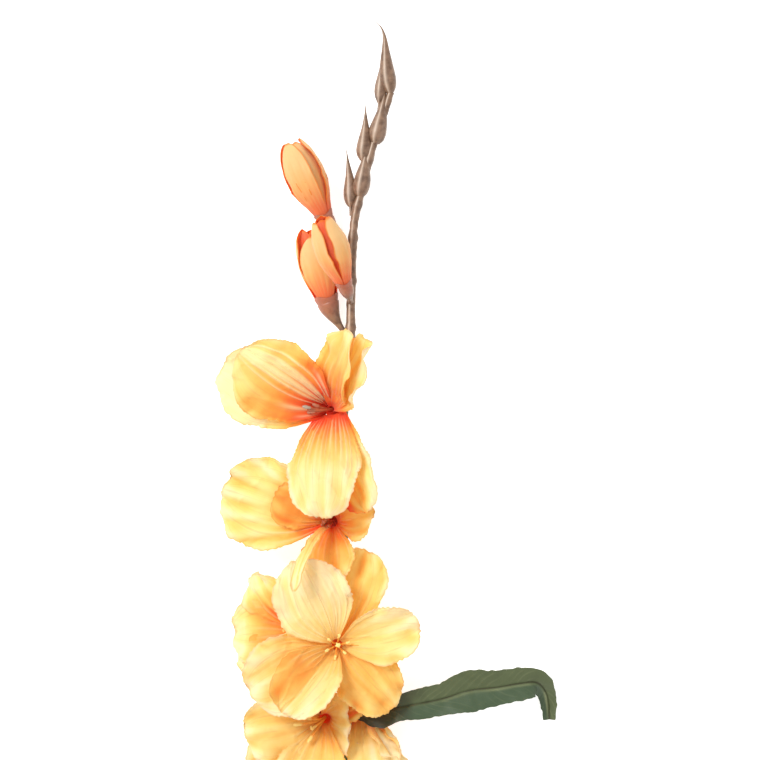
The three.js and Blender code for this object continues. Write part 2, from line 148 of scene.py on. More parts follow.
class SmoothCurve:
    """A centripetal Catmull-Rom curve through knots."""

    def __init__(self, knots: Sequence[Point]) -> None:
        """Keeps the knots."""
        self.knots = np.array([knot[:3] for knot in knots], float)

    def at(self, shares: Array) -> Array:
        """Finds points of the curve.

        Args:
            shares: How far along the knots each point is, from 0 to 1.

        Returns:
            One point for each share.
        """
        knots = self.knots
        padded = np.vstack([2 * knots[0] - knots[1], knots, 2 * knots[-1] - knots[-2]])
        place = np.clip(shares, 0, 1) * (len(knots) - 1)
        first = np.minimum(place.astype(int), len(knots) - 2)
        share = column(place - first)
        p0, p1, p2, p3 = (padded[first + k] for k in range(4))
        d0, d1, d2 = (
            column(np.maximum(np.linalg.norm(b - a, axis=1), 1e-6) ** 0.5)
            for a, b in ((p0, p1), (p1, p2), (p2, p3))
        )
        m1 = ((p1 - p0) / d0 - (p2 - p0) / (d0 + d1) + (p2 - p1) / d1) * d1
        m2 = ((p2 - p1) / d1 - (p3 - p1) / (d1 + d2) + (p3 - p2) / d2) * d1
        square = -3 * p1 + 3 * p2 - 2 * m1 - m2
        cube = 2 * p1 - 2 * p2 + m1 + m2
        return p1 + share * m1 + share**2 * square + share**3 * cube

    def tangents(self, shares: Array) -> Array:
        """Returns the curve's direction at each share."""
        step = 1e-4
        return normalised(self.at(np.minimum(shares + step, 1)) - self.at(np.maximum(shares - step, 0)))

    def at_y(self, y: float) -> Array:
        """Returns the point of the curve with the given y."""
        points = self.at(np.linspace(0, 1, 501))
        return points[np.argmin(np.abs(points[:, 1] - y))]


def bezier(controls: Sequence[Point], shares: Array) -> Array:
    """Finds points of a Bezier curve.

    Args:
        controls: Its control points.
        shares: How far along each point is, from 0 to 1.

    Returns:
        One point for each share.
    """
    points = [np.broadcast_to(np.asarray(c, float), (len(shares), 3)) for c in controls]
    while len(points) > 1:
        points = [a + (b - a) * column(shares) for a, b in zip(points, points[1:])]
    return points[0]


def ripples(seed: int, wavelength: float, count: int, x: Array, y: Array | float = 0.0) -> Array:
    """Finds the height of smooth random waves over a flat area, the same on each run.

    Args:
        seed: Which draw it is.
        wavelength: The usual distance between crests, in the units of the area.
        count: How many plane waves are added up.
        x: Places on the area.
        y: The same.

    Returns:
        Heights of about -1 to 1.
    """
    draw = np.random.default_rng(seed)
    angles = draw.uniform(0, 2 * math.pi, count)
    lengths = wavelength * draw.uniform(0.7, 1.5, count)
    phases = draw.uniform(0, 2 * math.pi, count)
    waves = 2 * math.pi / lengths * np.stack([np.cos(angles), np.sin(angles)])
    turns = column(x) * waves[0] + column(y) * waves[1] + phases
    return np.cos(turns).sum(-1) / math.sqrt(count)


def ring_grid(centres: Array, radii: Array, start: Point) -> Array:
    """Lays rings round a line of centres.

    Args:
        centres: The line, one point each row.
        radii: For each point a row with one radius for each side.
        start: Roughly where the first side of the first ring points.

    Returns:
        Rings by sides by 3.
    """
    side, angles = np.asarray(start, float), angles_round(radii.shape[1])
    rings = np.empty((*radii.shape, 3))
    for i, way in enumerate(normalised(np.gradient(centres, axis=0))):
        side = unit(side - way * (side @ way))
        spokes = np.outer(np.cos(angles), side) + np.outer(np.sin(angles), np.cross(way, side))
        rings[i] = centres[i] + spokes * column(radii[i])
    return rings


# Finishes

# Sockets of the colour form of the Mix node, whose names repeat
MIX_SHARE, MIX_FIRST, MIX_SECOND, MIX_RESULT = 0, 6, 7, 2


def linear(colour: str) -> tuple[float, ...]:
    """Returns an sRGB hex colour such as #fbd27c as linear numbers with an alpha of 1."""
    channels = [int(colour[k : k + 2], 16) / 255 for k in (1, 3, 5)]
    return (*(c / 12.92 if c <= 0.04045 else ((c + 0.055) / 1.055) ** 2.4 for c in channels), 1.0)


def add_node(
    tree: Tree, kind: str, sockets: dict[str | int, object], output: str | int = 0, **settings: object
) -> Socket | None:
    """Adds a node with its settings and links.

    Args:
        tree: The node tree.
        kind: The node's type without its common start, such as "TexNoise".
        sockets: For each input, by name or number, a number, a hex colour, the name of one of the mesh's
            own numbers, or the output that it is linked to.
        output: The output that is wanted, by name or number.
        **settings: The node's own properties.

    Returns:
        That output, if the node has any.
    """
    node = tree.nodes.new(f"ShaderNode{kind}")
    for name, setting in settings.items():
        setattr(node, name, setting)
    for key, given in sockets.items():
        if isinstance(given, str) and given.startswith("#"):
            given = linear(given)
        elif isinstance(given, str):
            given = add_node(tree, "Attribute", {}, "Fac", attribute_name=given)
        if isinstance(given, Socket):
            tree.links.new(given, node.inputs[key])
        else:
            node.inputs[key].default_value = given
    return node.outputs[output] if len(node.outputs) else None


def fill_ramp(ramp: Socket, bands: Sequence[tuple[float, str]]) -> Socket:
    """Sets the colours of a colour ramp.

    Args:
        ramp: The ramp's colour output.
        bands: Places from 0 to 1, each with its colour.

    Returns:
        The same output.
    """
    elements = ramp.node.color_ramp.elements
    while len(elements) < len(bands):
        elements.new(1.0)
    for element, (place, colour) in zip(elements, bands):
        element.position = place
        element.color = linear(colour)
    return ramp


@dataclass(frozen=True, kw_only=True)
class Finish:
    """What a piece is made of and how its surface was made."""

    name: str
    slot: Slot | None = None

    @cache
    def material(self) -> bpy.types.Material:
        """Makes the finish's material the first time, and gives the same one after that.

        Returns:
            The material.
        """
        material = bpy.data.materials.new(self.name)
        material.use_nodes = True
        material.node_tree.nodes.clear()
        add_node(material.node_tree, "OutputMaterial", {"Surface": self.shader(material.node_tree)})
        return material

    def shader(self, tree: Tree) -> Socket:
        """Returns the finish's shader."""
        raise NotImplementedError


def blotched_dye(tree: Tree, size: float, detail: float, low: float, uneven: float) -> Socket:
    """Finds how far along its colours the dye is, which a printer or an airbrush never lays on evenly.

    Args:
        tree: The material's nodes.
        size: The size of the blotches in millimetres.
        detail: How finely they are broken up.
        low: The noise's value that shifts the dye most one way. The other way it is as far above the middle.
        uneven: How far the dye is shifted there.

    Returns:
        The dye's place among its colours.
    """
    place = add_node(tree, "TexCoord", {}, "Object")
    noise = add_node(tree, "TexNoise", {"Vector": place, "Scale": 1 / (size * MM), "Detail": detail})
    shift = {"Value": noise, "From Min": low, "From Max": 1 - low, "To Min": -uneven, "To Max": uneven}
    return add_node(tree, "Math", {0: "dye_and_shade", 1: add_node(tree, "MapRange", shift)}, operation="ADD")


def lit_through(tree: Tree, glow: float, sockets: dict[str, object]) -> Socket:
    """Finds the shader of polyester cloth, which lets some of the light through.

    Args:
        tree: The material's nodes.
        glow: The share of the light that goes through.
        sockets: The inputs of its face, with its base colour.

    Returns:
        The shader.
    """
    face = add_node(tree, "BsdfPrincipled", {"IOR": 1.5, **sockets})
    through = add_node(tree, "BsdfTranslucent", {"Color": sockets["Base Color"]})
    return add_node(tree, "MixShader", {0: glow, 1: face, 2: through})


@dataclass(frozen=True, kw_only=True)
class PrintedSatin(Finish):
    """Polyester satin, heat-pressed over a pleated die and airbrushed from the root outwards.

    It gives the eye a soft, nearly matt cloth: dense colour at the throat, paler crests where the spray
    missed the folds and where a highlight is painted on them, and a glow where light comes through from
    behind.
    """

    bands: tuple[tuple[float, str], ...]  # the dye's colours from the root (0) to the rim (1)
    crest: str  # the colour on the pleats' crests, partly a painted highlight
    seam: str  # the colour on the cut edge, where the dye soaks in
    glow: float = 0.36  # the share of light that goes through
    lining: float = 0.0  # how much deeper the dye is on the face that turns inwards
    roughness: float = 0.64
    vein: str = "#e8925c"  # the colour in the fine pressed veins, partly painted shade of creases
    vein_share: float = 0.26  # how strongly it does
    blotch_mm: float = 9  # size of the airbrush's unevenness
    thread_mm: float = 0.5  # thread spacing, drawn at twice the real quarter of a millimetre so that it shows

    def shader(self, tree: Tree) -> Socket:
        """Makes the satin's nodes.

        Args:
            tree: The material's nodes so far.

        Returns:
            Its shader.
        """
        dye_and_shade = blotched_dye(tree, self.blotch_mm, 3.0, 0.25, 0.05)
        kept = add_node(tree, "Math", {0: "upper", 1: -self.lining, 2: 1.0}, operation="MULTIPLY_ADD")
        lined = add_node(tree, "Math", {0: dye_and_shade, 1: kept}, operation="MULTIPLY")
        cloth = fill_ramp(add_node(tree, "ValToRGB", {"Fac": lined}), self.bands)
        # the veins' colour is partly painted shade of creases too fine for the mesh
        veins = self.veins(tree)
        # the crest colour is partly a painted highlight on the pleats
        for share, colour in (("crest", self.crest), (veins, self.vein), ("seam", self.seam)):
            mix = {MIX_SHARE: share, MIX_FIRST: cloth, MIX_SECOND: colour}
            cloth = add_node(tree, "Mix", mix, MIX_RESULT, data_type="RGBA")
        return lit_through(
            tree, self.glow,
            {
                "Base Color": cloth, "Roughness": self.roughness, "Sheen Weight": 0.25,
                "Sheen Roughness": 0.45, "Specular IOR Level": 0.35, "Normal": self.weave(tree, veins),
            },
        )

    def veins(self, tree: Tree) -> Socket:
        """Finds the fine pressed veins, which fan out from the root and fade in and out.

        Args:
            tree: The material's nodes.

        Returns:
            How strongly they show.
        """
        stretched = add_node(tree, "Math", {0: "weft", 1: 1 / 60}, operation="MULTIPLY")
        lines = []
        for row in (0.0, 40.0):
            place = add_node(tree, "CombineXYZ", {"X": "fan", "Y": stretched, "Z": row})
            lines.append(add_node(tree, "TexNoise", {"Vector": place, "Scale": 1.0, "Detail": 0.0}))
        # a vein runs where the noise crosses its middle value, and a second noise breaks it off
        distance = add_node(tree, "Math", {0: lines[0], 1: 0.5}, operation="SUBTRACT")
        away = add_node(tree, "Math", {0: distance}, operation="ABSOLUTE")
        thin = add_node(
            tree, "MapRange", {"Value": away, "From Min": 0.0, "From Max": 0.04, "To Min": 1.0, "To Max": 0.0}
        )
        broken = add_node(
            tree, "MapRange",
            {"Value": lines[1], "From Min": 0.4, "From Max": 0.56, "To Min": 0.0, "To Max": self.vein_share},
        )
        return add_node(tree, "Math", {0: thin, 1: broken}, operation="MULTIPLY")

    def weave(self, tree: Tree, veins: Socket) -> Socket:
        """Finds the cloth's normal.

        Args:
            tree: The material's nodes.
            veins: Where the fine veins lie.

        Returns:
            The normal of the woven threads, along the cloth's own warp and weft, and of the veins.
        """
        # one wave of the texture is pi / 10 long at scale 1
        wave = {
            "Vector": add_node(tree, "CombineXYZ", {"X": "warp", "Y": "weft"}),
            "Scale": math.pi / 10 / self.thread_mm,
        }
        warp, weft = (add_node(tree, "TexWave", wave, "Fac", bands_direction=way) for way in ("X", "Y"))
        threads = add_node(tree, "Math", {0: warp, 1: weft}, operation="MULTIPLY")
        woven = add_node(tree, "Bump", {"Strength": 0.35, "Distance": 0.04 * MM, "Height": threads})
        return add_node(
            tree, "Bump", {"Strength": 0.8, "Distance": -0.3 * MM, "Height": veins, "Normal": woven}
        )


@dataclass(frozen=True, kw_only=True)
class MouldedPolyethylene(Finish):
    """Soft polyethylene, injection moulded and rubbed with a second colour.

    It gives the eye a low, broad sheen over faint mottling, with paler parting lines that are partly painted
    highlight.
    """

    colour: str
    dark: str  # the rubbed colour in the hollows
    pale: str  # the colour of the parting lines and worn crests; on the brown moulding, partly a painted highlight
    warm: str = "#a4573a"  # the colour beside the petals, where their dye rubs off
    roughness: float = 0.5
    mottle_mm: float = 7
    grain_mm: float = 0.9

    def shader(self, tree: Tree) -> Socket:
        """Makes the plastic's nodes.

        Args:
            tree: The material's nodes so far.

        Returns:
            Its shader.
        """
        place = add_node(tree, "TexCoord", {}, "Object")
        mottle, grain = (
            add_node(tree, "TexNoise", {"Vector": place, "Scale": 1 / (size * MM), "Detail": detail})
            for size, detail in ((self.mottle_mm, 4.0), (self.grain_mm, 2.0))
        )
        ramp = add_node(tree, "ValToRGB", {"Fac": mottle})
        plastic = fill_ramp(ramp, ((0.32, self.dark), (0.62, self.colour)))
        for share, colour in (("warm", self.warm), ("flash", self.pale)):
            mix = {MIX_SHARE: share, MIX_FIRST: plastic, MIX_SECOND: colour}
            plastic = add_node(tree, "Mix", mix, MIX_RESULT, data_type="RGBA")
        shine = {"Value": mottle, "To Min": self.roughness + 0.08, "To Max": self.roughness - 0.08}
        bump = {"Strength": 0.25, "Distance": 0.1 * MM, "Height": grain}
        return add_node(
            tree, "BsdfPrincipled",
            {
                "Base Color": plastic, "Roughness": add_node(tree, "MapRange", shine), "IOR": 1.51,
                "Normal": add_node(tree, "Bump", bump),
            },
        )


@dataclass(frozen=True, kw_only=True)
class PrintedLeafCloth(Finish):
    """Starched polyester cloth, printed green and pressed with veins.

    It gives the eye a dull, slightly waxy green that is darker by the stem, with painted shade in the groove
    of the midrib and on the lower half, paler slanting veins, and a painted highlight beside the midrib.
    """

    shade: str  # at the stem, and as painted shade in the midrib's groove
    green: str
    shaded_half: str  # painted shade: the green of the lower half, which turns from the light
    # also the colour of the painted highlight beside the midrib
    vein: str
    glow: float = 0.12  # the share of light that goes through
    roughness: float = 0.5
    blotch_mm: float = 12
    thread_mm: float = 0.6  # thread spacing, drawn at twice the real spacing so that it shows

    def shader(self, tree: Tree) -> Socket:
        """Makes the cloth's nodes.

        Args:
            tree: The material's nodes so far.

        Returns:
            Its shader.
        """
        dye_and_shade = blotched_dye(tree, self.blotch_mm, 4.0, 0.3, 0.16)
        cloth, shaded_half = (
            fill_ramp(
                add_node(tree, "ValToRGB", {"Fac": dye_and_shade}),
                ((0.0, self.shade), (0.75, green), (1.0, green)),
            )
            for green in (self.green, self.shaded_half)
        )
        # the lower half gets its painted shade
        for share, colour in (("shaded_half", shaded_half), ("crest", self.vein)):
            mix = {MIX_SHARE: share, MIX_FIRST: cloth, MIX_SECOND: colour}
            cloth = add_node(tree, "Mix", mix, MIX_RESULT, data_type="RGBA")
        wave = {
            "Vector": add_node(tree, "CombineXYZ", {"X": "warp", "Y": "weft"}),
            "Scale": math.pi / 10 / self.thread_mm, "Distortion": 0.4,
        }
        bump = {"Strength": 0.3, "Distance": 0.05 * MM, "Height": add_node(tree, "TexWave", wave, "Fac")}
        sockets = {"Base Color": cloth, "Roughness": self.roughness, "Normal": add_node(tree, "Bump", bump)}
        return lit_through(tree, self.glow, sockets)


@dataclass(frozen=True, kw_only=True)
class LitAcrylic(Finish):
    """The opal acrylic top of a light table.

    It gives the eye a plain white ground with hardly a shadow.
    """

    name: str = "acrylic_opal_lit"
    colour: str = "#f4f4f2"
    glow: float = 0.6

    def shader(self, tree: Tree) -> Socket:
        """Makes the acrylic's nodes.

        Args:
            tree: The material's nodes so far.

        Returns:
            Its shader.
        """
        return add_node(
            tree, "BsdfPrincipled",
            {
                "Base Color": self.colour, "Roughness": 0.9, "Specular IOR Level": 0.1,
                "Emission Color": "#ffffff", "Emission Strength": self.glow,
            },
        )


BLOOM_SATIN = PrintedSatin(
    name="polyester_satin_apricot", slot=Slot.PETAL,
    bands=(
        (0.0, "#a81604"), (0.08, "#ea3c10"), (0.18, "#fb5c28"), (0.27, "#fb8238"), (0.37, "#fcae4a"),
        (0.5, "#fcc964"), (0.66, "#fddc82"), (0.84, "#fee9a2"), (1.0, "#fff0c4"),
    ),
    crest="#fff2be", seam="#f0a23c",
)
BUD_SATIN = PrintedSatin(
    name="polyester_satin_bud", slot=Slot.BUD,
    bands=(
        (0.0, "#e85008"), (0.08, "#fb6212"), (0.16, "#f0744a"), (0.34, "#f98e56"), (0.5, "#fbb26a"),
        (0.7, "#fccc7c"), (1.0, "#fde09a"),
    ),
    crest="#fde4a8", seam="#f0860e", glow=0.42, lining=0.8, vein_share=0.1,
)
HUSK_PLASTIC = MouldedPolyethylene(
    name="polyethylene_moulded_brown", slot=Slot.HUSK,
    colour="#8a6c56", dark="#604634", pale="#c4ae9a", warm="#b0644c", roughness=0.46, mottle_mm=4,
)
STEM_PLASTIC = MouldedPolyethylene(
    name="polyethylene_moulded_green", slot=Slot.STEM,
    colour="#5c6b42", dark="#43502f", pale="#84915f", roughness=0.46,
)
AMBER_PLASTIC = MouldedPolyethylene(
    name="polyethylene_moulded_amber", slot=Slot.STAMEN,
    colour="#f2a844", dark="#e88a2c", pale="#fbdc84", mottle_mm=3,
)
UMBER_PLASTIC = MouldedPolyethylene(
    name="polyethylene_moulded_umber", slot=Slot.STAMEN,
    colour="#bc6844", dark="#9c4c2c", pale="#a89c8c", mottle_mm=3,
)
LEAF_CLOTH = PrintedLeafCloth(
    name="polyester_leaf_green", slot=Slot.LEAF,
    shade="#332c17", green="#5a6440", shaded_half="#46583c", vein="#868c64",
)


# Meshes


def new_object(name: str, shape: bpy.types.ID, spot: Point = (0, 0, 0)) -> bpy.types.Object:
    """Adds an object to the scene.

    Args:
        name: Its name.
        shape: Its mesh, lamp or camera.
        spot: Where it is.

    Returns:
        The new object.
    """
    thing = bpy.data.objects.new(name, shape)
    thing.location = Vector(spot) * MM
    bpy.context.scene.collection.objects.link(thing)
    return thing


class MeshParts:
    """The points, faces and values of one piece, gathered body by body."""

    def __init__(self) -> None:
        """Starts with nothing."""
        self.points: list[Array] = []
        self.faces: list[list[int]] = []
        self.values: dict[str, list[Array]] = {}
        self.count = 0

    def add(self, points: Array, faces: list[list[int]], values: dict[str, Array]) -> None:
        """Adds a closed body.

        Args:
            points: Its points, one row each.
            faces: Its faces, numbered from its own first point.
            values: Named numbers, one for each point.
        """
        self.faces += [[index + self.count for index in face] for face in faces]
        for name in sorted(self.values.keys() | values.keys()):
            kept = self.values.setdefault(name, [np.zeros(self.count)] if self.count else [])
            kept.append(np.ravel(values[name]) if name in values else np.zeros(len(points)))
        self.points.append(points)
        self.count += len(points)

    def sheet(self, middle: Array, thickness: float, values: dict[str, Array]) -> None:
        """Adds a thin closed body round a grid of points.

        Args:
            middle: The grid, rows by columns by 3.
            thickness: How thick the sheet is.
            values: Named numbers on the grid. The body also gets `upper`, 1 on the face that the rows and
                columns turn to and 0 on the other.
        """
        rows, columns = middle.shape[:2]
        middle = middle.copy()
        middle[..., 2] = np.maximum(middle[..., 2], thickness / 2)
        padded = np.pad(middle, ((1, 1), (1, 1), (0, 0)), mode="edge")
        along = padded[2:, 1:-1] - padded[:-2, 1:-1]
        across = padded[1:-1, 2:] - padded[1:-1, :-2]
        normal = normalised(np.cross(along, across)) * thickness / 2
        points = np.vstack([(middle + normal).reshape(-1, 3), (middle - normal).reshape(-1, 3)])
        points[:, 2] = np.maximum(points[:, 2], 0)
        count = rows * columns
        number = np.arange(count).reshape(rows, columns)
        a, b, c, d = number[:-1, :-1], number[1:, :-1], number[1:, 1:], number[:-1, 1:]
        top = np.stack([a, b, c, d], -1).reshape(-1, 4)
        under = np.stack([a, d, c, b], -1).reshape(-1, 4) + count
        rim = np.concatenate([number[0, :-1], number[:-1, -1], number[-1, :0:-1], number[:0:-1, 0]])
        after = np.roll(rim, -1)
        side = np.stack([rim, after, after + count, rim + count], -1)
        doubled = {name: np.tile(np.ravel(grid), 2) for name, grid in values.items()}
        doubled["upper"] = np.repeat([1.0, 0.0], count)
        self.add(points, np.vstack([top, under, side]).tolist(), doubled)

    def tube(self, rings: Array, values: dict[str, Array]) -> None:
        """Adds a closed body through rings of points, with a cap at each end.

        Args:
            rings: Rings by points by 3.
            values: Named numbers on the rings' points.
        """
        count, sides = rings.shape[:2]
        number = np.arange(count * sides).reshape(count, sides)
        after = np.roll(number, -1, axis=1)
        skin = np.stack([number[:-1], after[:-1], after[1:], number[1:]], -1).reshape(-1, 4)
        first, last = count * sides, count * sides + 1
        foot = [[first, b, a] for a, b in zip(number[0].tolist(), after[0].tolist())]
        head = [[last, a, b] for a, b in zip(number[-1].tolist(), after[-1].tolist())]
        points = np.vstack([rings.reshape(-1, 3), rings[0].mean(0), rings[-1].mean(0)])
        carried = {
            name: np.concatenate([np.ravel(grid), [np.mean(grid[0]), np.mean(grid[-1])]])
            for name, grid in values.items()
        }
        self.add(points, [*skin.tolist(), *foot, *head], carried)

    def build(self, name: str, finish: Finish, *nodes: str) -> None:
        """Makes the piece's object, gives it its place in the frame and reports it.

        Args:
            name: The piece's name.
            finish: Its finish.
            *nodes: The CAD nodes that the piece stands for.
        """
        mesh = bpy.data.meshes.new(name)
        mesh.from_pydata((np.vstack(self.points) * MM).tolist(), [], self.faces)
        mesh.polygons.foreach_set("use_smooth", np.ones(len(mesh.polygons), dtype=bool))
        mesh.set_sharp_from_angle(angle=math.radians(SHARP_ANGLE))
        for key, parts in self.values.items():
            layer = mesh.attributes.new(key, "FLOAT", "POINT")
            layer.data.foreach_set("value", np.concatenate(parts).astype(np.float32))
        mesh.materials.append(finish.material())
        mesh.update()
        piece = new_object(name, mesh)
        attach(piece, ROOT_BODY)
        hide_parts(*nodes)
        report(piece, nodes)


def report(piece: bpy.types.Object, nodes: Sequence[str]) -> None:
    """Logs a piece's triangles and how far it departs from the box of the nodes that it stands for.

    Args:
        piece: The finished piece.
        nodes: The CAD nodes that it replaces.
    """
    corners = np.empty(len(piece.data.vertices) * 3)
    piece.data.vertices.foreach_get("co", corners)
    points = corners.reshape(-1, 3)
    boxes = [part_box(node) for node in nodes]
    low = np.min([np.array(box[0]) for box in boxes], axis=0)
    high = np.max([np.array(box[1]) for box in boxes], axis=0)
    faces = sum(len(face.vertices) - 2 for face in piece.data.polygons)
    below = (points.min(0) - low) / MM
    above = (points.max(0) - high) / MM
    log.info(
        "%s: %d triangles, low corner off by %s mm, high corner by %s mm",
        piece.name, faces, np.round(below, 1).tolist(), np.round(above, 1).tolist(),
    )


# Petals


@dataclass(frozen=True)
class Placement:
    """Where a bloom or bud sits, and the directions round it."""

    throat: Array
    axis: Array
    right: Array
    up: Array

    @classmethod
    def facing(cls, throat: Point, direction: Point) -> Placement:
        """Returns the placement of a bloom with that throat, which faces in that direction."""
        axis = unit(direction)
        right = unit(np.array([1.0, 0, 0]) - axis * axis[0])
        return cls(np.asarray(throat, float), axis, right, np.cross(axis, right))

    def spoke(self, turn: float, tilt: float = 90) -> Array:
        """Returns the direction at that turn round the axis and that tilt from it."""
        angle, lean = math.radians(turn), math.radians(tilt)
        flat = self.right * math.cos(angle) + self.up * math.sin(angle)
        return flat * math.sin(lean) + self.axis * math.cos(lean)


@dataclass(frozen=True)
class Press:
    """How a petal is heat-pressed and how its edge is cut. Heights and depths are in millimetres."""

    pleats: int = 8  # fine ridges that fan out from the root
    pleat_height: float = 1.1
    reach: tuple[float, float] = (0.3, 0.8)  # the least and the greatest t at which a pleat ends
    ridges: tuple[Point, ...] = ()  # single ridges: each one's place across, its strength and its half width
    flutes: float = 3.4  # broad waves across the petal
    flute_height: float = 0.9  # at the rim
    folds: float = 0.8  # random folds near the rim
    creases: float = 0.45  # thin creases all over
    crinkle: float = 0.75  # short waves along the rim
    lobes: float = 0.55  # how deep the rim is lobed
    teeth: float = 0.36  # how far its threads fray

    def pleated(self, seed: int, t: Array, s: Array) -> Array:
        """Finds the ridges that fan out from a petal's root and fade towards its rim.

        Args:
            seed: Which draw it is.
            t: Places along the petal.
            s: Places across it.

        Returns:
            The ridges' heights, from 0 to about 1.
        """
        draw, count = np.random.default_rng(seed), self.pleats
        places = np.linspace(-0.86, 0.86, count) + draw.uniform(-0.35, 0.35, count) / count
        ends = draw.uniform(*self.reach, count)
        heights = draw.uniform(0.35, 1, count)
        bends = draw.uniform(-0.1, 0.1, count)
        widths = 0.42 / count * draw.uniform(0.55, 1.5, count)
        fine = zip(places, ends, heights, bends, widths)
        single = ((place, 1.3, strength, 0, width) for place, strength, width in self.ridges)
        height = np.zeros_like(t)
        for place, end, strength, bend, width in (*fine, *single):
            fade = smoothstep(t, 0.02, 0.16) * (1 - smoothstep(t, end * 0.6, end))
            offset = (s - place * (1 - 0.12 * t) - bend * t**2) / (width * (0.45 + 0.8 * t))
            steep = np.where(offset < 0, 1.7, 1)
            height += strength * fade * np.exp(-np.abs(offset * steep) ** 1.5)
        return height


@dataclass(frozen=True)
class Spray:
    """How a petal's dye is sprayed and shade painted: places run from the throat's red (0) to the rim's cream
    (1).
    """

    run: float = 0.85  # how far the throat's colour runs out
    start: float = 0.0  # the dye's place at the root
    end: float = 1.0  # its place where the run ends
    curve: float = 1.0  # above 1, the colour pales late and then fast
    pale: float = 0.0  # how much paler the whole petal is
    slope: float = 0.0  # how much paler from its rib to its left edge and deeper to its right, partly painted shade
    step: float = 0.0  # painted shade: how much paler all of its left half is, past the fold of its rib
    crest: float = 0.35  # how pale the pleats' crests are, partly a painted highlight
    bands: float = 0.12  # how much paler the broad waves' crests are than their hollows: partly painted shade
    seam: float = 0.3  # how strongly the cut edge is dyed


@dataclass(frozen=True)
class FlatPetal:
    """Places on a petal that is still flat, with their distances in millimetres."""

    t: Array
    s: Array
    half: Array  # half the petal's width
    x: Array  # from the rib
    y: Array  # from the root
    round_rim: Array  # roughly how far along the rim
    from_rim: Array  # roughly how far from it


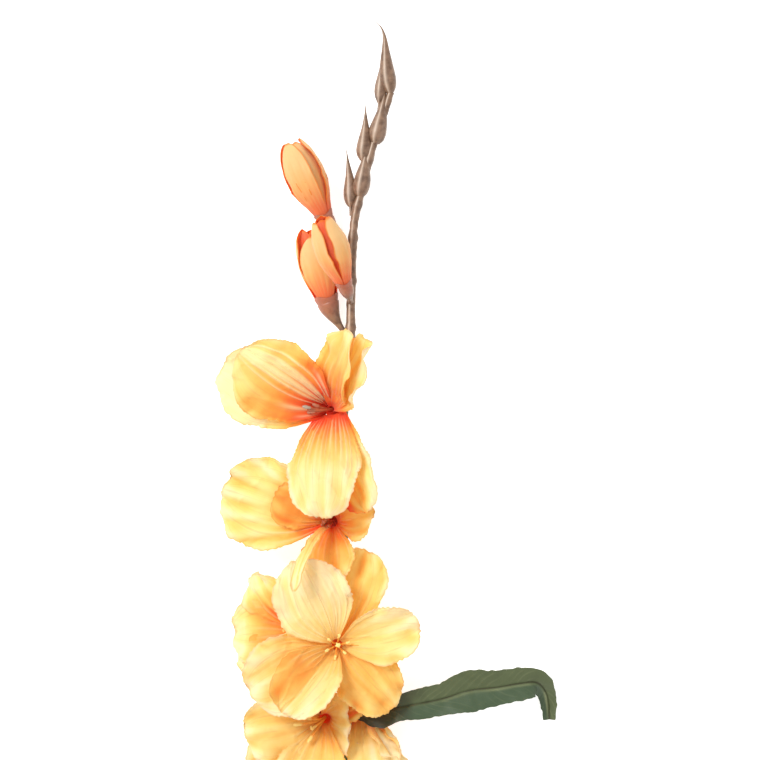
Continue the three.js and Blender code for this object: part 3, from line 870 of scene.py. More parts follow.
@dataclass(frozen=True)
class Petal:
    """A petal: its place round the bloom, its size and bend, how it is pressed and dyed, and its painted
    shade.
    """

    turn: float
    long: float
    wide: float
    open: tuple[float, float]  # how far it leans from the bloom's axis at its root and its tip
    curl: float = 0  # bends its last third further
    sway: float = 0  # bends it sideways
    roll: float = 0  # twists it
    cup: float = 20  # bends it across
    crease: float = 0  # folds it along its rib
    ruffle: float = 2
    widest: float = 0.6  # where along the petal it is widest
    root: float = 0.17  # how wide its root is
    ring: tuple[float, float] = (ROOT_RADIUS, ROOT_DEPTH)  # its root: from the axis, below the throat
    hug: float = 0  # how much straighter it stands where it is still part of the tube
    wrap: float = 1  # how far its root wraps round the tube
    press: Press = Press()
    spray: Spray = Spray()
    rows: int = 84
    columns: int = 64

    def flat(self) -> FlatPetal:
        """Lays the petal's grid: a narrow claw, then an oval, with lines that crowd at tip and edges.

        Returns:
            The grid's places.
        """
        share = np.linspace(0, 1, self.rows)
        t, s = np.meshgrid(
            TIP_SHARE * lerp(share, np.sin(share * math.pi / 2), TIP_CROWDING),
            np.sin(np.linspace(-1, 1, self.columns) * EDGE_CROWDING) / math.sin(EDGE_CROWDING),
            indexing="ij",
        )
        swell = np.sin(np.clip(t / self.widest, 0, 1) * math.pi / 2) ** CLAW_POWER
        past = np.clip((t - self.widest) / (1 - self.widest), 0, 1) ** OVAL_POWER
        shape = np.where(t < self.widest, self.root + (1 - self.root) * swell, np.sqrt(1 - past))
        half = self.wide / 2 * shape
        x = s * half
        round_rim = np.arctan2(x, (t - 0.4) * self.long) * (self.wide + self.long) / 4
        from_rim = np.minimum((1 - np.abs(s)) * half, (1 - t) * self.long * 0.5)
        return FlatPetal(t, s, half, x, t * self.long, round_rim, from_rim)

    def headings(self, at: Placement, t: Array) -> tuple[Array, Array]:
        """Finds how the petal runs.

        Args:
            at: The bloom's placement.
            t: Places along the petal.

        Returns:
            The directions along and across the petal at each place.
        """
        radial = at.spoke(self.turn)
        around = np.cross(at.axis, radial)
        lean = lerp(*self.open, t) + self.curl * smoothstep(t, 0.55, 1) ** 2
        lean = np.radians(lean * (1 - self.hug * (1 - smoothstep(t, 0.05, 0.3))))
        sway = column(np.radians(self.sway * t))
        out = column(np.sin(lean)) * radial + column(np.cos(lean)) * at.axis
        return out * np.cos(sway) + around * np.sin(sway), around * np.cos(sway) - out * np.sin(sway)

    def spine(self, at: Placement, t: Array) -> Array:
        """Finds the petal's rib.

        Args:
            at: The bloom's placement.
            t: Places along the petal.

        Returns:
            The rib's point at each place.
        """
        steps = 24
        start = at.throat - at.axis * self.ring[1] + at.spoke(self.turn) * self.ring[0]
        along = self.headings(at, (np.arange(steps) + 0.5) / steps)[0] * self.long / steps
        points = np.vstack([start, start + np.cumsum(along, axis=0)])
        place = np.minimum(t * steps, steps - 1e-6)
        first = place.astype(int)
        return points[first] + column(place - first) * (points[first + 1] - points[first])

    def shape(self, at: Placement, seed: int) -> tuple[Array, dict[str, Array]]:
        """Shapes the petal.

        Args:
            at: The bloom's placement.
            seed: Which draw gives its pleats, waves and frays.

        Returns:
            Its grid of points, and the named numbers that its finish reads.
        """
        flat = self.flat()
        t, s, half = flat.t, flat.s, flat.half
        along, across = self.headings(at, t)
        inward = np.cross(along, across)
        roll = column(np.radians(self.roll) * smoothstep(t, 0, 0.7))
        side = across * np.cos(roll) + inward * np.sin(roll)
        face = inward * np.cos(roll) - across * np.sin(roll)
        root_cup = self.wrap * self.root * self.wide / 2 / self.ring[0]
        bend = lerp(root_cup, math.radians(self.cup), smoothstep(t, 0, 0.4))
        bend = np.where(np.abs(bend) < 1e-6, 1e-6, bend)
        frays = self.press.teeth * ripples(seed + 11, 2.0, 6, flat.round_rim)
        lobes = self.press.lobes * ripples(seed + 12, 16, 5, flat.round_rim)
        cut = (frays + lobes) * smoothstep(t, 0.15, 0.4)
        reach = half * np.sin(bend * s) / bend + cut * np.sign(s) * np.abs(s) ** 8
        rise = half * (1 - np.cos(bend * s)) / bend
        rise += math.tan(math.radians(self.crease)) * half * np.sqrt(s**2 + 0.0025)
        edge = np.abs(s) ** 2.5 * smoothstep(t, 0.15, 0.6)
        wave = np.sin(2 * math.pi * (EDGE_WAVES * t + np.where(s > 0, EDGE_SHIFT, 0)))
        frill = smoothstep(t, 0.7, 1) * np.sin(2.6 * math.pi * flat.x / (self.wide / 2))
        rise += self.ruffle * (edge * wave + 0.6 * frill)
        crest, flutes, relief = self.relief(flat, seed)
        points = self.spine(at, t) + side * column(reach) + face * column(rise + relief)
        points += along * column(cut * smoothstep(t, 0.93, 1))
        return points, self.numbers(flat, seed, crest, flutes)

    def relief(self, flat: FlatPetal, seed: int) -> tuple[Array, Array, Array]:
        """Finds the pressed pleats, broad waves, folds and crumples.

        Args:
            flat: The petal's places.
            seed: Its draw.

        Returns:
            The pleats' crests from 0 to 1, the broad waves and folds from about -1 to 1, and the height of
            all relief in millimetres.
        """
        press, t, s, x, y = self.press, flat.t, flat.s, flat.x, flat.y
        ridges = press.pleated(seed, t, s)
        outer = np.maximum(np.abs(s) ** 2 * smoothstep(t, 0.2, 0.6), smoothstep(t, 0.4, 1))
        fan = np.arctan2(x, y + 0.15 * self.long) / math.atan2(self.wide / 2, 0.75 * self.long)
        flutes = np.cos(math.pi * press.flutes * fan + 1.7 * seed) * outer
        folds = ripples(seed + 1, 17, 6, x, y) * outer
        creases = np.clip(1 - np.abs(ripples(seed + 6, 15, 5, 1.3 * x, 0.4 * y)), 0, 1) ** 7
        crinkle = ripples(seed + 5, 6.5, 5, flat.round_rim)
        crinkle *= np.exp(-((flat.from_rim / 3.5) ** 2)) * smoothstep(t, 0.25, 0.5)
        height = press.pleat_height * flat.half / (self.wide / 2) * ridges + press.flute_height * flutes
        height += press.folds * folds + press.creases * creases + press.crinkle * crinkle
        height += 0.06 * ripples(seed + 2, 5, 12, x, y)
        return np.clip(ridges, 0, 1), flutes + 0.25 * folds, height

    def numbers(self, flat: FlatPetal, seed: int, crest: Array, flutes: Array) -> dict[str, Array]:
        """Finds the named numbers that the finish reads.

        Args:
            flat: The petal's places.
            seed: Its draw.
            crest: The pleats' crests.
            flutes: The broad waves.

        Returns:
            The dye's place from root (0) to rim (1), with painted shade, the crests, the seam and the
            threads' places.
        """
        spray, t, s, rim = self.spray, flat.t, flat.s, flat.from_rim
        streaks = ripples(seed + 3, 0.32, 6, s, t * 0.12)
        dye_and_shade = lerp(spray.start, spray.end, np.minimum(t / spray.run, 1) ** spray.curve)
        dye_and_shade += 0.06 * s**2 * smoothstep(t, 0.1, 0.4) + 0.05 * streaks * smoothstep(t, 0.05, 0.3)
        # painted shade: slope and step deepen a side or half that lies in shadow (slope is partly print)
        tilt = spray.pale + spray.slope * s + spray.step * (2 * smoothstep(s, -0.04, 0.04) - 1)
        # the broad waves' hollows are deeper and their crests paler, partly dye and partly painted shade
        dye_and_shade += tilt * smoothstep(t, 0.15, 0.5) + spray.bands * flutes
        dye_and_shade += 0.1 * (1 - smoothstep(rim, 0.5, 3.5)) * smoothstep(t, 0.3, 0.6)
        return {
            "dye_and_shade": np.clip(dye_and_shade, 0, 1),
            # pale crests, partly a painted highlight
            "crest": crest * spray.crest,
            "seam": spray.seam * (1 - smoothstep(rim, 0.2, 0.9)) * smoothstep(t, 0.1, 0.2),
            "warp": flat.x,
            "weft": flat.y,
            "fan": 9 * seed + s * self.wide / 3.2,
        }


# Sub-assemblies


@dataclass(frozen=True)
class Funnel:
    """A cup or tube of one wall, open at the top, that petals stand in."""

    outside: tuple[float, float] = (FOOT_RADIUS, THROAT_RADIUS)  # its radius at its foot and at its lip
    foot: float = TUBE_LENGTH  # how far below the throat it starts
    lip: float = ROOT_DEPTH - 0.5  # how far below the throat it ends
    bore: float = 6.5  # how deep the opening is
    wall: float = 0.6
    wave: float = 0  # how far its lip rises and falls
    dye_and_shade: tuple[float, float] = (0.16, 0.0)  # outside and at the bore's bottom, partly painted shade there
    warm: tuple[float, float] = (0, 0)  # how strongly the petals' dye has rubbed off, at its foot and lip
    sides: int = 40

    def add_to(self, parts: MeshParts, at: Placement) -> None:
        """Adds the funnel to a piece.

        Args:
            parts: The piece's mesh so far.
            at: The bloom's placement.
        """
        length = self.foot - self.lip
        rise, fall = np.linspace(0, 1, 12), np.linspace(1, 1 - self.bore / length, 10)
        outer, inner = (lerp(*self.outside, share**0.7) for share in (rise, fall))
        inner = inner - self.wall
        inner[-1] *= 0.4
        shares = np.concatenate([rise, fall])
        angles = angles_round(self.sides)
        spokes = np.outer(np.cos(angles), at.right) + np.outer(np.sin(angles), at.up)
        levels = column(shares * length - self.foot) + self.wave * column(shares**3) * np.cos(3 * angles + 1)
        radii = np.concatenate([outer, inner])
        rings = at.throat + spokes[None] * radii[:, None, None] + at.axis * column(levels)
        # the red deepens down the bore, partly painted shade in the throat's hollow
        depth = np.concatenate([np.full(12, self.dye_and_shade[0]), np.linspace(*self.dye_and_shade, 10)])
        numbers = {"dye_and_shade": depth, "warm": lerp(*self.warm, shares)}
        parts.tube(rings, {name: np.repeat(column(row), self.sides, 1) for name, row in numbers.items()})


@dataclass(frozen=True)
class Stamens:
    """The stamens and, last, the style, which rise from deep in a bloom's throat."""

    rods: tuple[Point, ...]  # each one's turn round the bloom, its lean from the bloom's axis and its length
    finish: MouldedPolyethylene = AMBER_PLASTIC
    depth: float = 6  # how far below the throat they start
    filament: float = 0.5
    anther: tuple[float, float] = (5.2, 1.0)  # length and radius
    crumble: float = 0.12  # how uneven the anthers are
    tips: tuple[float, float] = (0.9, 0.9)  # how pale the tips of the first and of the others are
    sides: int = 14

    def build(self, name: str, at: Placement, node: str) -> None:
        """Builds the stamens as one piece.

        Args:
            name: The piece's name.
            at: The bloom's placement.
            node: The CAD node that it stands for.
        """
        parts = MeshParts()
        shares, angles = np.linspace(0, 1, 34), angles_round(self.sides)
        for k, (turn, lean, long) in enumerate(self.rods):
            is_style = k == len(self.rods) - 1
            aside = (0 if is_style else 1.1) * at.spoke(turn)
            base = at.throat + at.axis * (GAP + 0.7) + aside
            middle = base + at.spoke(turn, lean * 0.45) * long / 2
            end = middle + at.spoke(turn, lean * 1.25) * long / 2
            centres = bezier([at.throat - at.axis * self.depth + aside / 2, base, middle, end], shares)
            from_end = (1 - shares) * np.linalg.norm(np.diff(centres, axis=0), axis=1).sum()
            radii = self.style_radii(from_end) if is_style else self.anther_radii(from_end)
            at_anther = column(1 - smoothstep(from_end, self.anther[0] - 1, self.anther[0]))
            lumps = ripples(k + int(turn), 1.6, 8, *np.meshgrid(from_end, angles, indexing="ij"))
            rings = ring_grid(centres, column(radii) * (1 + self.crumble * lumps * at_anther), at.right)
            parts.tube(rings, {"flash": np.repeat(at_anther * self.tips[min(k, 1)], self.sides, 1)})
        parts.build(name, self.finish, node)

    def anther_radii(self, from_end: Array) -> Array:
        """Returns a stamen's radius at each distance from its end: a filament, then an oblong anther."""
        length, radius = self.anther
        swell = radius * np.sqrt(np.maximum(1 - (2 * np.clip(from_end / length, 0, 1) - 1) ** 4, 0))
        return np.maximum(np.where(from_end > 0.3, self.filament, 0.2), swell)

    def style_radii(self, from_end: Array) -> Array:
        """Returns the style's radius at each distance from its end, where it flares."""
        flare = 0.7 * (1 - smoothstep(from_end, 0.5, 4))
        return (0.6 + flare) * np.sqrt(np.clip(from_end / 0.5, 0.05, 1))


@dataclass(frozen=True)
class Stalk:
    """A moulded stalk from a stem's axis to the cup that a bloom or bud sits in."""

    start: Array
    at: Placement
    depth: float  # how far below the throat the cup ends
    cup: float  # the cup's radius
    warm: float = 0  # how strongly the petals' dye has rubbed off on the cup
    sides: int = 28

    def add_to(self, parts: MeshParts) -> None:
        """Adds the stalk to a piece.

        Args:
            parts: The piece's mesh so far.
        """
        end = self.at.throat - self.at.axis * (self.depth + GAP)
        before = end - self.at.axis * 0.3 * np.linalg.norm(self.start - end)
        shares, angles = np.linspace(0, 1, 40), angles_round(self.sides)
        centres = bezier([self.start, (self.start + before) / 2, before, end], shares)
        radii = lerp(STALK_RADIUS, self.cup, smoothstep(shares, 0.3, 1)) * np.where(shares > 0.97, 0.94, 1)
        flash = np.abs(np.cos(angles)) ** 40
        ribs = 1 + 0.025 * np.cos(5 * angles)
        rings = ring_grid(centres, column(radii) * ribs + 0.18 * flash, (1, 0, 0))
        warm = np.repeat(column(self.warm * smoothstep(shares, 0.45, 1)), self.sides, 1)
        parts.tube(rings, {"flash": 0.7 * np.tile(flash, (len(shares), 1)), "warm": warm})


@dataclass(frozen=True)
class Bloom:
    """An open bloom: six petals on a funnel, its stamens, and its green stalk and cup."""

    throat: Point
    direction: Point
    node_y: float  # where its stalk leaves the stem
    stamens: Stamens
    petals: tuple[Petal, ...]
    throat_dye_and_shade: tuple[float, float] = (0.16, 0.0)  # outside its funnel and deep in it, partly painted shade

    def build(self, number: int, stem: SmoothCurve) -> None:
        """Builds the bloom's three pieces.

        Args:
            number: Which bloom it is, from the highest down.
            stem: The stem's axis.
        """
        at = Placement.facing(self.throat, self.direction)
        parts, calyx = MeshParts(), MeshParts()
        for seed, petal in enumerate(self.petals, 10 * number - 9):
            points, numbers = petal.shape(at, seed)
            parts.sheet(points, PETAL_THICKNESS, numbers)
        Funnel(dye_and_shade=self.throat_dye_and_shade).add_to(parts, at)
        name = f"bloom_{number}"
        parts.build(f"{name}_petal_cloth", BLOOM_SATIN, f"{name}_petals")
        self.stamens.build(f"{name}_stamen_set", at, f"{name}_stamens")
        Stalk(stem.at_y(self.node_y), at, TUBE_LENGTH, FOOT_RADIUS + 0.8).add_to(calyx)
        calyx.build(f"{name}_stalk", STEM_PLASTIC, f"{name}_calyx")


BUD_PRESS = Press(
    pleats=7, pleat_height=0.3, flute_height=0.15, folds=0.25, creases=0.15, crinkle=0.15, lobes=0.3,
    teeth=0.1,
)
BUD_OUTER = Spray(0.75, 0.17, crest=0.25, bands=0.03, seam=0.8)
# the inner petals' deep red-orange is partly their dye and partly painted shade inside the bud
BUD_INNER = Spray(20, 0.06, crest=0, bands=0, seam=0.6)


@dataclass(frozen=True)
class HalfOpenBud:
    """A half-open bud: petals that close round each other, in a brown cup."""

    throat: Point
    direction: Point
    node_y: float  # where its stalk leaves the rachis
    long: float
    wide: float
    open: tuple[float, float]
    husk: float  # the radius of its cup
    twist: float = 0  # how far its petals are turned round its axis
    gape: float = 0  # how much narrower the outer petals are, which opens the slits between them
    short: float = 0  # how much shorter the outer petals on the camera's side are
    recess: float = 1.4  # how far the inner petals stand back from the outer ones
    inner: Spray = BUD_INNER  # the dye of the inner petals, partly painted shade inside the bud

    def placement(self) -> Placement:
        """Returns where the bud sits."""
        return Placement.facing(self.throat, self.direction)

    def petal(self, k: int) -> Petal:
        """Gives the size of one of its six petals.

        Args:
            k: Which petal it is. The odd ones are the outer ones.

        Returns:
            The petal.
        """
        outer = k % 2 == 1
        turn = 60 * k + 30 + self.twist
        near = max(0.0, -math.sin(math.radians(turn)))
        wide = self.wide - (self.gape if outer else 5)
        back = 0 if outer else self.recess
        root_open, tip_open = self.open
        return Petal(
            turn, self.long + (3 - self.short * near if outer else 1), wide,
            (root_open, tip_open) if outer else (root_open - 9, tip_open + 6),
            cup=math.degrees(wide / 2 / (self.wide / 2.3 - back)), root=0.32 * self.wide / wide, widest=0.5,
            ring=(self.husk - 0.6 - min(back, 0.8), BUD_TUBE), hug=0.45, ruffle=0.3,
            press=BUD_PRESS, spray=BUD_OUTER if outer else self.inner, rows=50, columns=40,
        )

    def build(self, number: int) -> None:
        """Builds the bud's petals as one piece.

        Args:
            number: Which bud it is, from the highest down.
        """
        at, parts = self.placement(), MeshParts()
        for k in range(6):
            points, numbers = self.petal(k).shape(at, 50 + 10 * number + k)
            parts.sheet(points, PETAL_THICKNESS, numbers)
        core = Funnel((self.husk - 2.2, self.husk - 1.6), BUD_TUBE, BUD_TUBE - 3.5, 3, dye_and_shade=(0.0, 0.0))
        core.add_to(parts, at)
        parts.build(f"bud_{number}_petal_cloth", BUD_SATIN, f"bud_{number}_petals")


@dataclass(frozen=True)
class ClosedBud:
    """A closed bud of the moulded tip: a pointed drop with two parting lines."""

    foot: Point
    point: Point
    radius: float
    bare: float = 0  # the length of bare stalk at its foot
    bend: float = 1.5  # how far its point bends aside
    bow: float = 0  # how far its body leans the other way
    rings: int = 56
    sides: int = 36

    # the drop's radius from its base (0) to its point (1), as shares of the greatest
    PROFILE = (
        (0, 0.3), (0.04, 0.62), (0.1, 0.86), (0.2, 1.0), (0.32, 0.93), (0.46, 0.72), (0.6, 0.47),
        (0.74, 0.27), (0.86, 0.12), (1.0, 0.03),
    )

    def add_to(self, parts: MeshParts, seed: int) -> None:
        """Adds the bud to a piece.

        Args:
            parts: The piece's mesh so far.
            seed: Which draw gives its dents.
        """
        foot, point = np.array(self.foot, float), np.array(self.point, float)
        bare = self.bare / np.linalg.norm(point - foot)
        shares, angles = np.linspace(0, 1, self.rings), angles_round(self.sides)
        offset = self.bow * (shares**2 - shares**8) - self.bend * shares**3
        aside = unit(np.cross(point - foot, [0, 0, 1]))
        centres = foot + np.outer(shares, point - foot) + np.outer(offset, aside)
        drop = np.clip((shares - bare) / (1 - bare), 0, 1)
        swell = self.radius * np.interp(drop, *zip(*self.PROFILE))
        swell = np.convolve(np.pad(swell, 2, mode="edge"), np.array([1, 2, 3, 2, 1]) / 9, mode="valid")
        radii = np.maximum(np.where(drop > 0, swell, 0), np.where(shares < 0.5, 1.0, 0.0))
        # the pale parting line on the upper left is partly a painted highlight
        flash = np.abs(np.cos(angles)) ** 60
        grooves = 1 - 0.07 * np.maximum(np.cos(3 * angles + seed), 0) ** 6
        dents = 1 + 0.03 * ripples(seed + 40, 3.2, 8, *np.meshgrid(drop * 8, angles, indexing="ij"))
        rings = ring_grid(centres, column(radii) * grooves * dents + 0.22 * flash, FLASH_HIGHLIGHT_SIDE)
        parts.tube(rings, {"flash": np.tile(flash * 0.9, (self.rings, 1))})


@dataclass(frozen=True)
class BudTip:
    """The brown tip: a jointed rachis, six closed buds and the half-open buds' husks, in one moulding."""

    path: tuple[Point, ...]
    radii: tuple[float, float]
    closed: tuple[ClosedBud, ...]
    joints: tuple[float, ...]  # y of each joint of the rachis
    rings: int = 220
    sides: int = 28

    def build(self, half_open: Sequence[HalfOpenBud]) -> None:
        """Builds the moulding.

        Args:
            half_open: The half-open buds, whose husks belong to it.
        """
        parts, curve = MeshParts(), SmoothCurve(self.path)
        shares, angles = np.linspace(0, 1, self.rings), angles_round(self.sides)
        centres = curve.at(shares)
        radii = lerp(*self.radii, shares)
        for joint in self.joints:
            radii = radii + 0.55 * np.exp(-(((centres[:, 1] - joint) / 2.2) ** 2))
        # the pale parting line on the upper left is partly a painted highlight
        flash = np.abs(np.cos(angles)) ** 50
        dents = 1 + 0.05 * ripples(7, 4, 10, *np.meshgrid(centres[:, 1], angles * 2, indexing="ij"))
        rings = ring_grid(centres, column(radii) * dents + 0.18 * flash, FLASH_HIGHLIGHT_SIDE)
        parts.tube(rings, {"flash": np.tile(flash, (self.rings, 1))})
        for seed, bud in enumerate(self.closed, 1):
            bud.add_to(parts, seed)
        for bud in half_open:
            at = bud.placement()
            Stalk(curve.at_y(bud.node_y), at, BUD_TUBE, bud.husk, warm=0.6).add_to(parts)
            rim = (bud.husk - 1.1, bud.husk + 0.9)
            Funnel(rim, BUD_TUBE + 2.4, BUD_TUBE - 2.6, 2.9, 0.3, wave=0.9, warm=(0.5, 0.9)).add_to(parts, at)
        parts.build("bud_tip_moulding", HUSK_PLASTIC, "bud_tip")


@dataclass(frozen=True)
class Stem:
    """The green plastic stem: round, faintly ribbed, with a parting line on each side."""

    path: tuple[Point, ...]
    radii: tuple[float, float]
    facets: int = 10  # the flats of the plain stem, whose inner radius is its height above the surface
    rings: int = 300
    sides: int = 28

    def curve(self) -> SmoothCurve:
        """Returns the stem's axis."""
        lift = self.radii[0] * math.cos(math.pi / self.facets)
        return SmoothCurve([(x, y, z + lift) for x, y, z in self.path])

    def build(self) -> None:
        """Builds the stem as one piece."""
        shares, angles = np.linspace(0, 1, self.rings), angles_round(self.sides)
        centres = self.curve().at(shares)
        taper = lerp(*self.radii, np.clip((shares - 0.2) / 0.8, 0, 1))
        flash = np.abs(np.sin(angles)) ** 50
        ribs = 1 + 0.02 * np.cos(8 * angles)
        dents = 1 + 0.02 * ripples(5, 6, 10, *np.meshgrid(centres[:, 1], angles * 2, indexing="ij"))
        rings = ring_grid(centres, column(taper) * ribs * dents + 0.12 * flash, (0, 0, -1))
        rings[..., 2] = np.maximum(rings[..., 2], 0)
        parts = MeshParts()
        parts.tube(rings, {"flash": np.tile(flash * 0.7, (self.rings, 1))})
        parts.build("stem_sleeve", STEM_PLASTIC, "stem")


@dataclass(frozen=True)
class Leaf:
    """A sword leaf: a keeled blade with a midrib, slanting veins and a waved edge."""

    spine: tuple[Point, ...]  # x, y, z and half the width at each point
    crease: float
    ruffle: float
    waves: float
    veins: float = 0.16  # slanting veins for each millimetre of length
    rows: int = 260
    columns: int = 56

    def build(self, number: int) -> None:
        """Builds the leaf as one piece.

        Args:
            number: Which leaf it is.
        """
        curve, seed, parts = SmoothCurve(self.spine), 90 + number, MeshParts()
        shares = np.linspace(0, 0.99, self.rows)
        t, s = np.meshgrid(shares, np.linspace(-1, 1, self.columns), indexing="ij")
        centres, along = curve.at(shares), curve.tangents(shares)
        across = normalised(np.stack([along[:, 1], -along[:, 0], np.zeros(self.rows)], -1))
        face = np.cross(across, along)
        half = SmoothCurve([(knot[3], 0, 0) for knot in self.spine]).at(shares)[:, :1]
        length = np.concatenate([[0], np.cumsum(np.linalg.norm(np.diff(centres, axis=0), axis=1))])
        turns = self.waves * t + np.where(s > 0, LEAF_SHIFT, 0)
        wave = np.sin(2 * math.pi * turns) * s**2 * np.minimum(1, half / 6)
        crease = math.radians(self.crease)
        rise = half * np.sqrt(s**2 + 0.004) * math.sin(crease) + self.ruffle * wave
        x, y = s * half, np.repeat(column(length), self.columns, 1)
        drift = ripples(seed + 1, 24, 6, x, y)
        slant = (y - 1.5 * np.abs(x) + 2.2 * drift) * self.veins
        comb = np.maximum(np.cos(2 * math.pi * slant), 0) ** 8 * np.clip(0.6 + 0.6 * drift, 0, 1)
        vein = comb * smoothstep(np.abs(s), 0.05, 0.2) * (1 - smoothstep(np.abs(s), 0.75, 1))
        groove = np.exp(-((x / 0.7) ** 2))
        rise += 0.16 * vein - 0.6 * groove + 0.16 * ripples(seed, 7, 12, x, y)
        nicks = 0.22 * ripples(seed + 2, 5, 6, y, np.sign(s)) * np.abs(s) ** 8
        reach = half * s * math.cos(crease) + nicks * np.sign(s) * smoothstep(half, 1, 4)
        points = centres[:, None] + across[:, None] * column(reach) + face[:, None] * column(rise)
        # painted highlight: a pale broken streak beside the midrib
        midrib_highlight = np.exp(-(((x - 1.2) / 0.7) ** 2)) * smoothstep(t, 0.35, 0.55) * (0.5 + 0.3 * drift)
        numbers = {
            # darker by the stem, and painted shade in the midrib's groove
            "dye_and_shade": smoothstep(y, 8, 60) * (1 - 0.75 * groove) * (0.86 + 0.14 * smoothstep(s, -0.3, 0.3)),
            "crest": np.clip(0.34 * vein * (s < 0) + 0.16 * vein * (s > 0) + midrib_highlight, 0, 1),
            # painted shade on the lower half, which turns from the light
            "shaded_half": smoothstep(s, -0.1, 0.3),
            "warp": x,
            "weft": y,
        }
        parts.sheet(points, LEAF_THICKNESS, numbers)
        parts.build(f"leaf_{number}_blade", LEAF_CLOTH, f"leaf_{number}")


# The flower's own sizes

SMALL = {"rows": 40, "columns": 36}
LARGE = {"rows": 96, "columns": 84}
HIDDEN = {"spray": Spray(1.4, 0.2), **SMALL}
SHELTERED = Spray(0.8, 0.3, 0.9, curve=4)

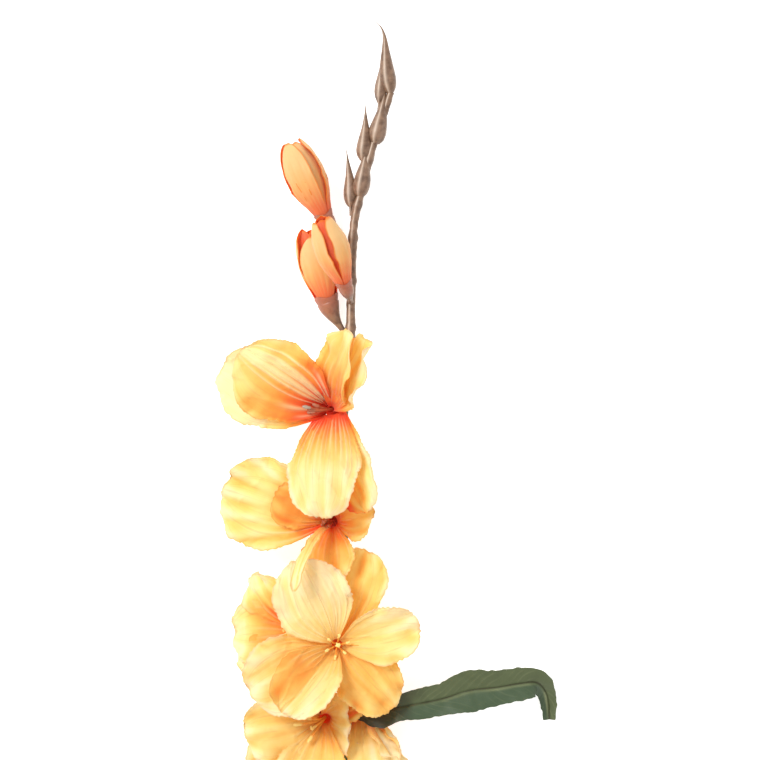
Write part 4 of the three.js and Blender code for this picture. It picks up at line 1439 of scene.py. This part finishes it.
BLOOMS = (
    Bloom(
        (-8.6, 500, 42), (-0.3, -0.12, 0.94), 472,
        Stamens(((165, 52, 18), (184, 60, 14), (150, 52, 12), (173, 60, 15)), UMBER_PLASTIC, tips=(1, 0.2)),
        (
            Petal(
                141, 66, 50, (25, 88), ruffle=2.2, cup=12, **LARGE,
                press=Press(
                    5, 1.0, (0.3, 0.7), flute_height=1.2, lobes=1.2,
                    ridges=(
                        (-0.2, 2.1, 0.085), (-0.46, 2.1, 0.075), (-0.33, 1, 0.03), (-0.04, 1.2, 0.035),
                        (-0.7, 1.2, 0.035), (0.16, 0.8, 0.03),
                    ),
                ),
                spray=Spray(0.9, 0.05, 0.74, curve=1.15, crest=0.85, bands=0.05),
            ),
            Petal(
                278, 69, 44, (28, 80), cup=-20, curl=6, root=0.4, widest=0.55, ring=(3, 0.8), wrap=0, **LARGE,
                press=Press(12, 1.5, (0.35, 0.9), flutes=5, creases=0.7),
                spray=Spray(0.6, 0.14, 0.84, curve=1.3, crest=0.9, bands=0.06),
            ),
            Petal(
                50, 56, 36, (42, 92), roll=-36, sway=15, widest=0.58, ring=(2, 2),
                press=Press(lobes=1.0, teeth=0.5), spray=Spray(0.8, 0.14, 0.72, curve=0.8, slope=-0.3),
            ),
            Petal(67, 58, 35, (34, 88), roll=-42, cup=30, root=0.3, spray=Spray(0.9, 0.16, 0.7)),
            Petal(
                298, 64, 29, (46, 88), cup=10, root=0.5, wrap=0.1, spray=Spray(1.5, 0.18, 0.8, slope=0.5)
            ),
            Petal(160, 67, 46, (44, 98), root=0.3, wrap=0.6, spray=Spray(0.6, pale=0.08)),
        ),
    ),
    Bloom(
        (-9, 435, 29), (-0.33, -0.05, 0.94), 410,
        Stamens(((80, 12, 8), (200, 14, 7), (320, 14, 7), (110, 10, 9)), UMBER_PLASTIC, tips=(0, 0)),
        (
            Petal(
                161, 65, 54, (40, 92), ruffle=2.6, cup=10, **LARGE,
                press=Press(9, 0.9, flutes=5.6, flute_height=2.2, folds=0.5),
                spray=Spray(0.6, end=0.8, curve=0.75, bands=0.17, crest=0.8),
            ),
            Petal(
                141, 38, 32, (24, 76), cup=26, ruffle=1, widest=0.7,
                press=Press(flute_height=0.4, folds=0.5),
                spray=Spray(1, 0.3, 0.43, bands=0.08, crest=0.3, seam=0.5),
            ),
            Petal(18, 33, 30, (36, 90), cup=24, spray=Spray(0.8, 0.18, 0.64)),
            Petal(66, 31, 26, (60, 110), **SMALL),
            Petal(274, 34, 34, (42, 96), root=0.3, spray=Spray(1, 0.24, 0.6, slope=0.16)),
            Petal(
                250, 64, 8, (-10, 74), sway=14, roll=40, cup=10, ruffle=0.5, columns=24,
                press=Press(4, 0.4, flute_height=0.2, folds=0.3, lobes=0.4),
                spray=Spray(1, 0.4, 0.85, seam=0.5),
            ),
        ),
    ),
    Bloom(
        (-4.6, 365, 40), (0.03, -0.03, 1), 338,
        Stamens(
            ((20, 70, 9), (80, 60, 9), (140, 72, 8), (200, 62, 9), (260, 70, 9), (320, 60, 8), (70, 12, 7)),
            anther=(3.6, 0.7), crumble=0.4,
        ),
        (
            Petal(
                120, 54, 46, (54, 100), sway=-10, widest=0.5, **LARGE, spray=Spray(0.7, 0.66, crest=0.9),
                press=Press(
                    9, reach=(0.5, 1.1), flute_height=1.2, lobes=0.4,
                    ridges=((-0.5, 0.9, 0.06), (-0.16, 1, 0.04), (0.1, 0.9, 0.035), (0.45, 0.9, 0.05)),
                ),
            ),
            Petal(
                15, 48, 33, (48, 100), crease=17,
                press=Press(lobes=0.3), spray=Spray(0.8, 0.56, 0.88, step=0.05),
            ),
            Petal(
                230, 48, 37, (45, 98), crease=26, roll=14,
                press=Press(creases=0.9), spray=Spray(1, 0.5, 0.74, step=0.18),
            ),
            Petal(73, 54, 36, (84, 112), cup=2, roll=-12, spray=Spray(1, 0.36, 0.66, slope=-0.1)),
            Petal(313, 46, 38.5, (62, 104), widest=0.44, root=0.24, spray=Spray(1, 0.46, 0.6)),
            Petal(208, 55, 46, (62, 100), spray=Spray(0.9, 0.5, 0.88)),
        ),
        (0.5, 0.2),
    ),
    Bloom(
        (-29, 371, 14.1), (-0.78, 0.12, 0.62), 352,
        Stamens(((60, 12, 7), (180, 12, 6), (300, 12, 7), (200, 8, 8)), tips=(0.2, 0.2)),
        (
            Petal(182, 40, 40, (25, 78), spray=SHELTERED),
            Petal(112, 42, 32, (25, 80), spray=SHELTERED),
            Petal(238, 40, 34, (25, 80), spray=SHELTERED),
            Petal(60, 24, 20, (16, 50), **HIDDEN),
            Petal(300, 24, 20, (16, 50), **HIDDEN),
            Petal(0, 22, 18, (12, 45), **HIDDEN),
        ),
    ),
    Bloom(
        (-12.6, 320.6, 27), (-0.2, -0.2, 0.96), 294,
        Stamens(
            ((178, 58, 20), (236, 54, 17), (158, 62, 13), (205, 42, 11)),
            filament=0.7, anther=(5, 0.9), crumble=0.35, tips=(0.9, 0.7),
        ),
        (
            Petal(185, 47, 42, (35, 88), spray=Spray(0.9, 0.48, 0.76)),
            Petal(
                4, 20.5, 38, (30, 60), cup=2, ruffle=0.6, root=0.4, widest=0.7,
                spray=Spray(1, 0.3, 0.85, slope=-0.2),
            ),
            Petal(262, 52, 42, (35, 88), spray=Spray(0.85, 0.4, 0.78)),
            Petal(222, 50, 38, (55, 104), spray=Spray(0.9, 0.42, 0.85)),
            Petal(128, 32, 28, (60, 110), **SMALL),
            Petal(36, 24, 20, (58, 100), spray=Spray(1.4, 0.14, 0.6), **SMALL),
        ),
        (0.3, 0.2),
    ),
    Bloom(
        (12.5, 317, 14.5), (0.18, -0.88, 0.42), 270,
        Stamens(((90, 2, 6), (210, 10, 7), (330, 10, 7), (30, 4, 8))),
        (
            Petal(
                84, 38, 33, (2, 10), root=0.56, wrap=0.35, cup=22, ruffle=0.8,
                press=Press(pleat_height=0.5, flute_height=0.5, folds=0.4),
                spray=Spray(0.5, 0.2, 0.9, slope=-0.25, seam=0.4),
            ),
            Petal(18, 36, 26, (4, 34), root=0.3, spray=Spray(0.9, 0.1)),
            Petal(326, 36, 26, (10, 50), **SMALL),
            Petal(284, 38, 26, (16, 66), **SMALL),
            Petal(212, 16, 12, (6, 14), **SMALL),
            Petal(150, 18, 11, (4, 12), roll=-50, **SMALL),
        ),
    ),
)

HALF_OPEN = (
    HalfOpenBud(
        (-15, 618, 18), (-0.42, 0.9, 0.1), 588, 47, 31, (38, -30), 5, 40, 13, recess=0.4, inner=BUD_OUTER
    ),
    HalfOpenBud((-2.5, 578, 28.5), (-0.33, 0.9, 0.28), 562, 42, 26, (38, -30), 4.4, 2, 8, 3),
    HalfOpenBud((-12.5, 570, 9.2), (-0.25, 0.97, 0), 540, 43, 28, (32, -28), 6.4, 58, 6, 6, 2.3),
)

BUD_TIP = BudTip(
    path=(
        (2.9, 535.3, 9.7), (3, 560, 9.4), (3.8, 590, 10), (5.2, 611, 11), (8.4, 625, 12),
        (13, 643, 12), (16.6, 656, 12), (21, 668, 12), (26.2, 685, 12),
    ),
    radii=(2.7, 2.1),
    closed=(
        ClosedBud((26.2, 684, 12), (17.4, 725.5, 16), 4.9, bend=0, bow=7),
        ClosedBud((18.6, 668, 11), (23, 711, 12), 3.8, bare=11),
        ClosedBud((17, 654.5, 12.5), (24.6, 688, 13), 5.3),
        ClosedBud((9.8, 642, 11.5), (13, 677.5, 11), 4.7, bare=3),
        ClosedBud((8, 623.5, 12), (14, 658, 13), 5.1),
        ClosedBud((3.2, 613, 10), (1.8, 652, 9), 4, bare=5),
    ),
    joints=(548, 575, 600, 619, 646, 668),
)

STEM = Stem(
    path=(
        (0, -25, 0), (0, 5, 0), (0, 35, 0), (0, 62, 0), (0, 130, 1.8), (0, 200, 6), (0, 260, 10),
        (0, 330, 12), (-0.8, 400, 12), (-1.8, 450, 10), (-1.4, 495, 7.6), (2.9, 535, 6.5),
    ),
    radii=(3.4, 2.5),
)

LEAVES = (
    Leaf(
        (
            (4, 327, 17.5, 5), (11, 326, 23.5, 7), (20, 325.5, 27, 9.6), (30, 328, 28, 7.8),
            (42, 330, 27, 9.4), (56, 332.5, 24, 9.6), (72, 337, 21, 12.6), (88, 338.6, 19, 10.6),
            (102, 340.6, 16, 9.8),
            (111.5, 340.6, 11.5, 8), (116.8, 335, 6, 5.8), (118.9, 327, 1.8, 4.9), (119.4, 316.5, -0.4, 3.4),
        ),
        crease=16, ruffle=1.4, waves=4.2,
    ),
    Leaf(
        (
            (-2, 128, 4, 3), (-9, 142, 9, 5.5), (-22, 162, 14, 9), (-38, 185, 16, 11.5),
            (-56, 208, 14.5, 12.5), (-74, 230, 10.5, 11.5), (-90, 249, 5.5, 9), (-103, 265, 1.4, 5.5),
            (-113, 278, -0.5, 0.8),
        ),
        crease=14, ruffle=1.2, waves=3.6, rows=160, columns=36,
    ),
)


@dataclass(frozen=True)
class Studio:
    """A light table in even surroundings, one softbox, and the camera that looks straight down."""

    eye: Point = (20, 517.14, 1673.6)
    lens: float = 135
    sensor: float = 36
    floor_side: float = 6000
    floor_level: float = -0.4
    softbox: Point = (-950, 1250, 1750)
    softbox_side: float = 700
    softbox_watts: float = 33
    aim: Point = (0, 480, 20)  # what the softbox points at
    surroundings: float = 0.8  # how bright they are

    def build(self) -> None:
        """Builds the floor, the softbox, the surrounding light and the camera."""
        half, level = self.floor_side / 2 * MM, self.floor_level * MM
        mesh = bpy.data.meshes.new("floor")
        corners = [(x * half, y * half, level) for x, y in ((-1, -1), (1, -1), (1, 1), (-1, 1))]
        mesh.from_pydata(corners, [], [(0, 1, 2, 3)])
        mesh.materials.append(LitAcrylic().material())
        floor = new_object("floor", mesh)
        lamp = bpy.data.lights.new("key_softbox", "AREA")
        lamp.size = self.softbox_side * MM
        lamp.energy = self.softbox_watts
        holder = new_object("key_softbox", lamp, self.softbox)
        way = Vector(self.aim) - Vector(self.softbox)
        holder.rotation_euler = way.to_track_quat("-Z", "Y").to_euler()
        world = bpy.data.worlds.new("soft_surroundings")
        world.use_nodes = True
        background = world.node_tree.nodes["Background"]
        background.inputs["Color"].default_value = linear("#ffffff")
        background.inputs["Strength"].default_value = self.surroundings
        lens = bpy.data.cameras.new("camera")
        lens.lens = self.lens
        lens.sensor_width = self.sensor
        lens.clip_end = 20
        scene = bpy.context.scene
        scene.world = world
        scene.view_settings.view_transform = "Standard"
        scene.camera = new_object("camera", lens, self.eye)


def main() -> None:
    """Loads the frame and dresses it, sub-assembly by sub-assembly."""
    logging.basicConfig(level=logging.INFO, format="%(name)s: %(message)s")
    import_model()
    Studio().build()
    STEM.build()
    BUD_TIP.build(HALF_OPEN)
    for number, bud in enumerate(HALF_OPEN, 1):
        bud.build(number)
    for number, bloom in enumerate(BLOOMS, 1):
        bloom.build(number, STEM.curve())
    for number, leaf in enumerate(LEAVES, 1):
        leaf.build(number)


if __name__ == "__main__":
    main()
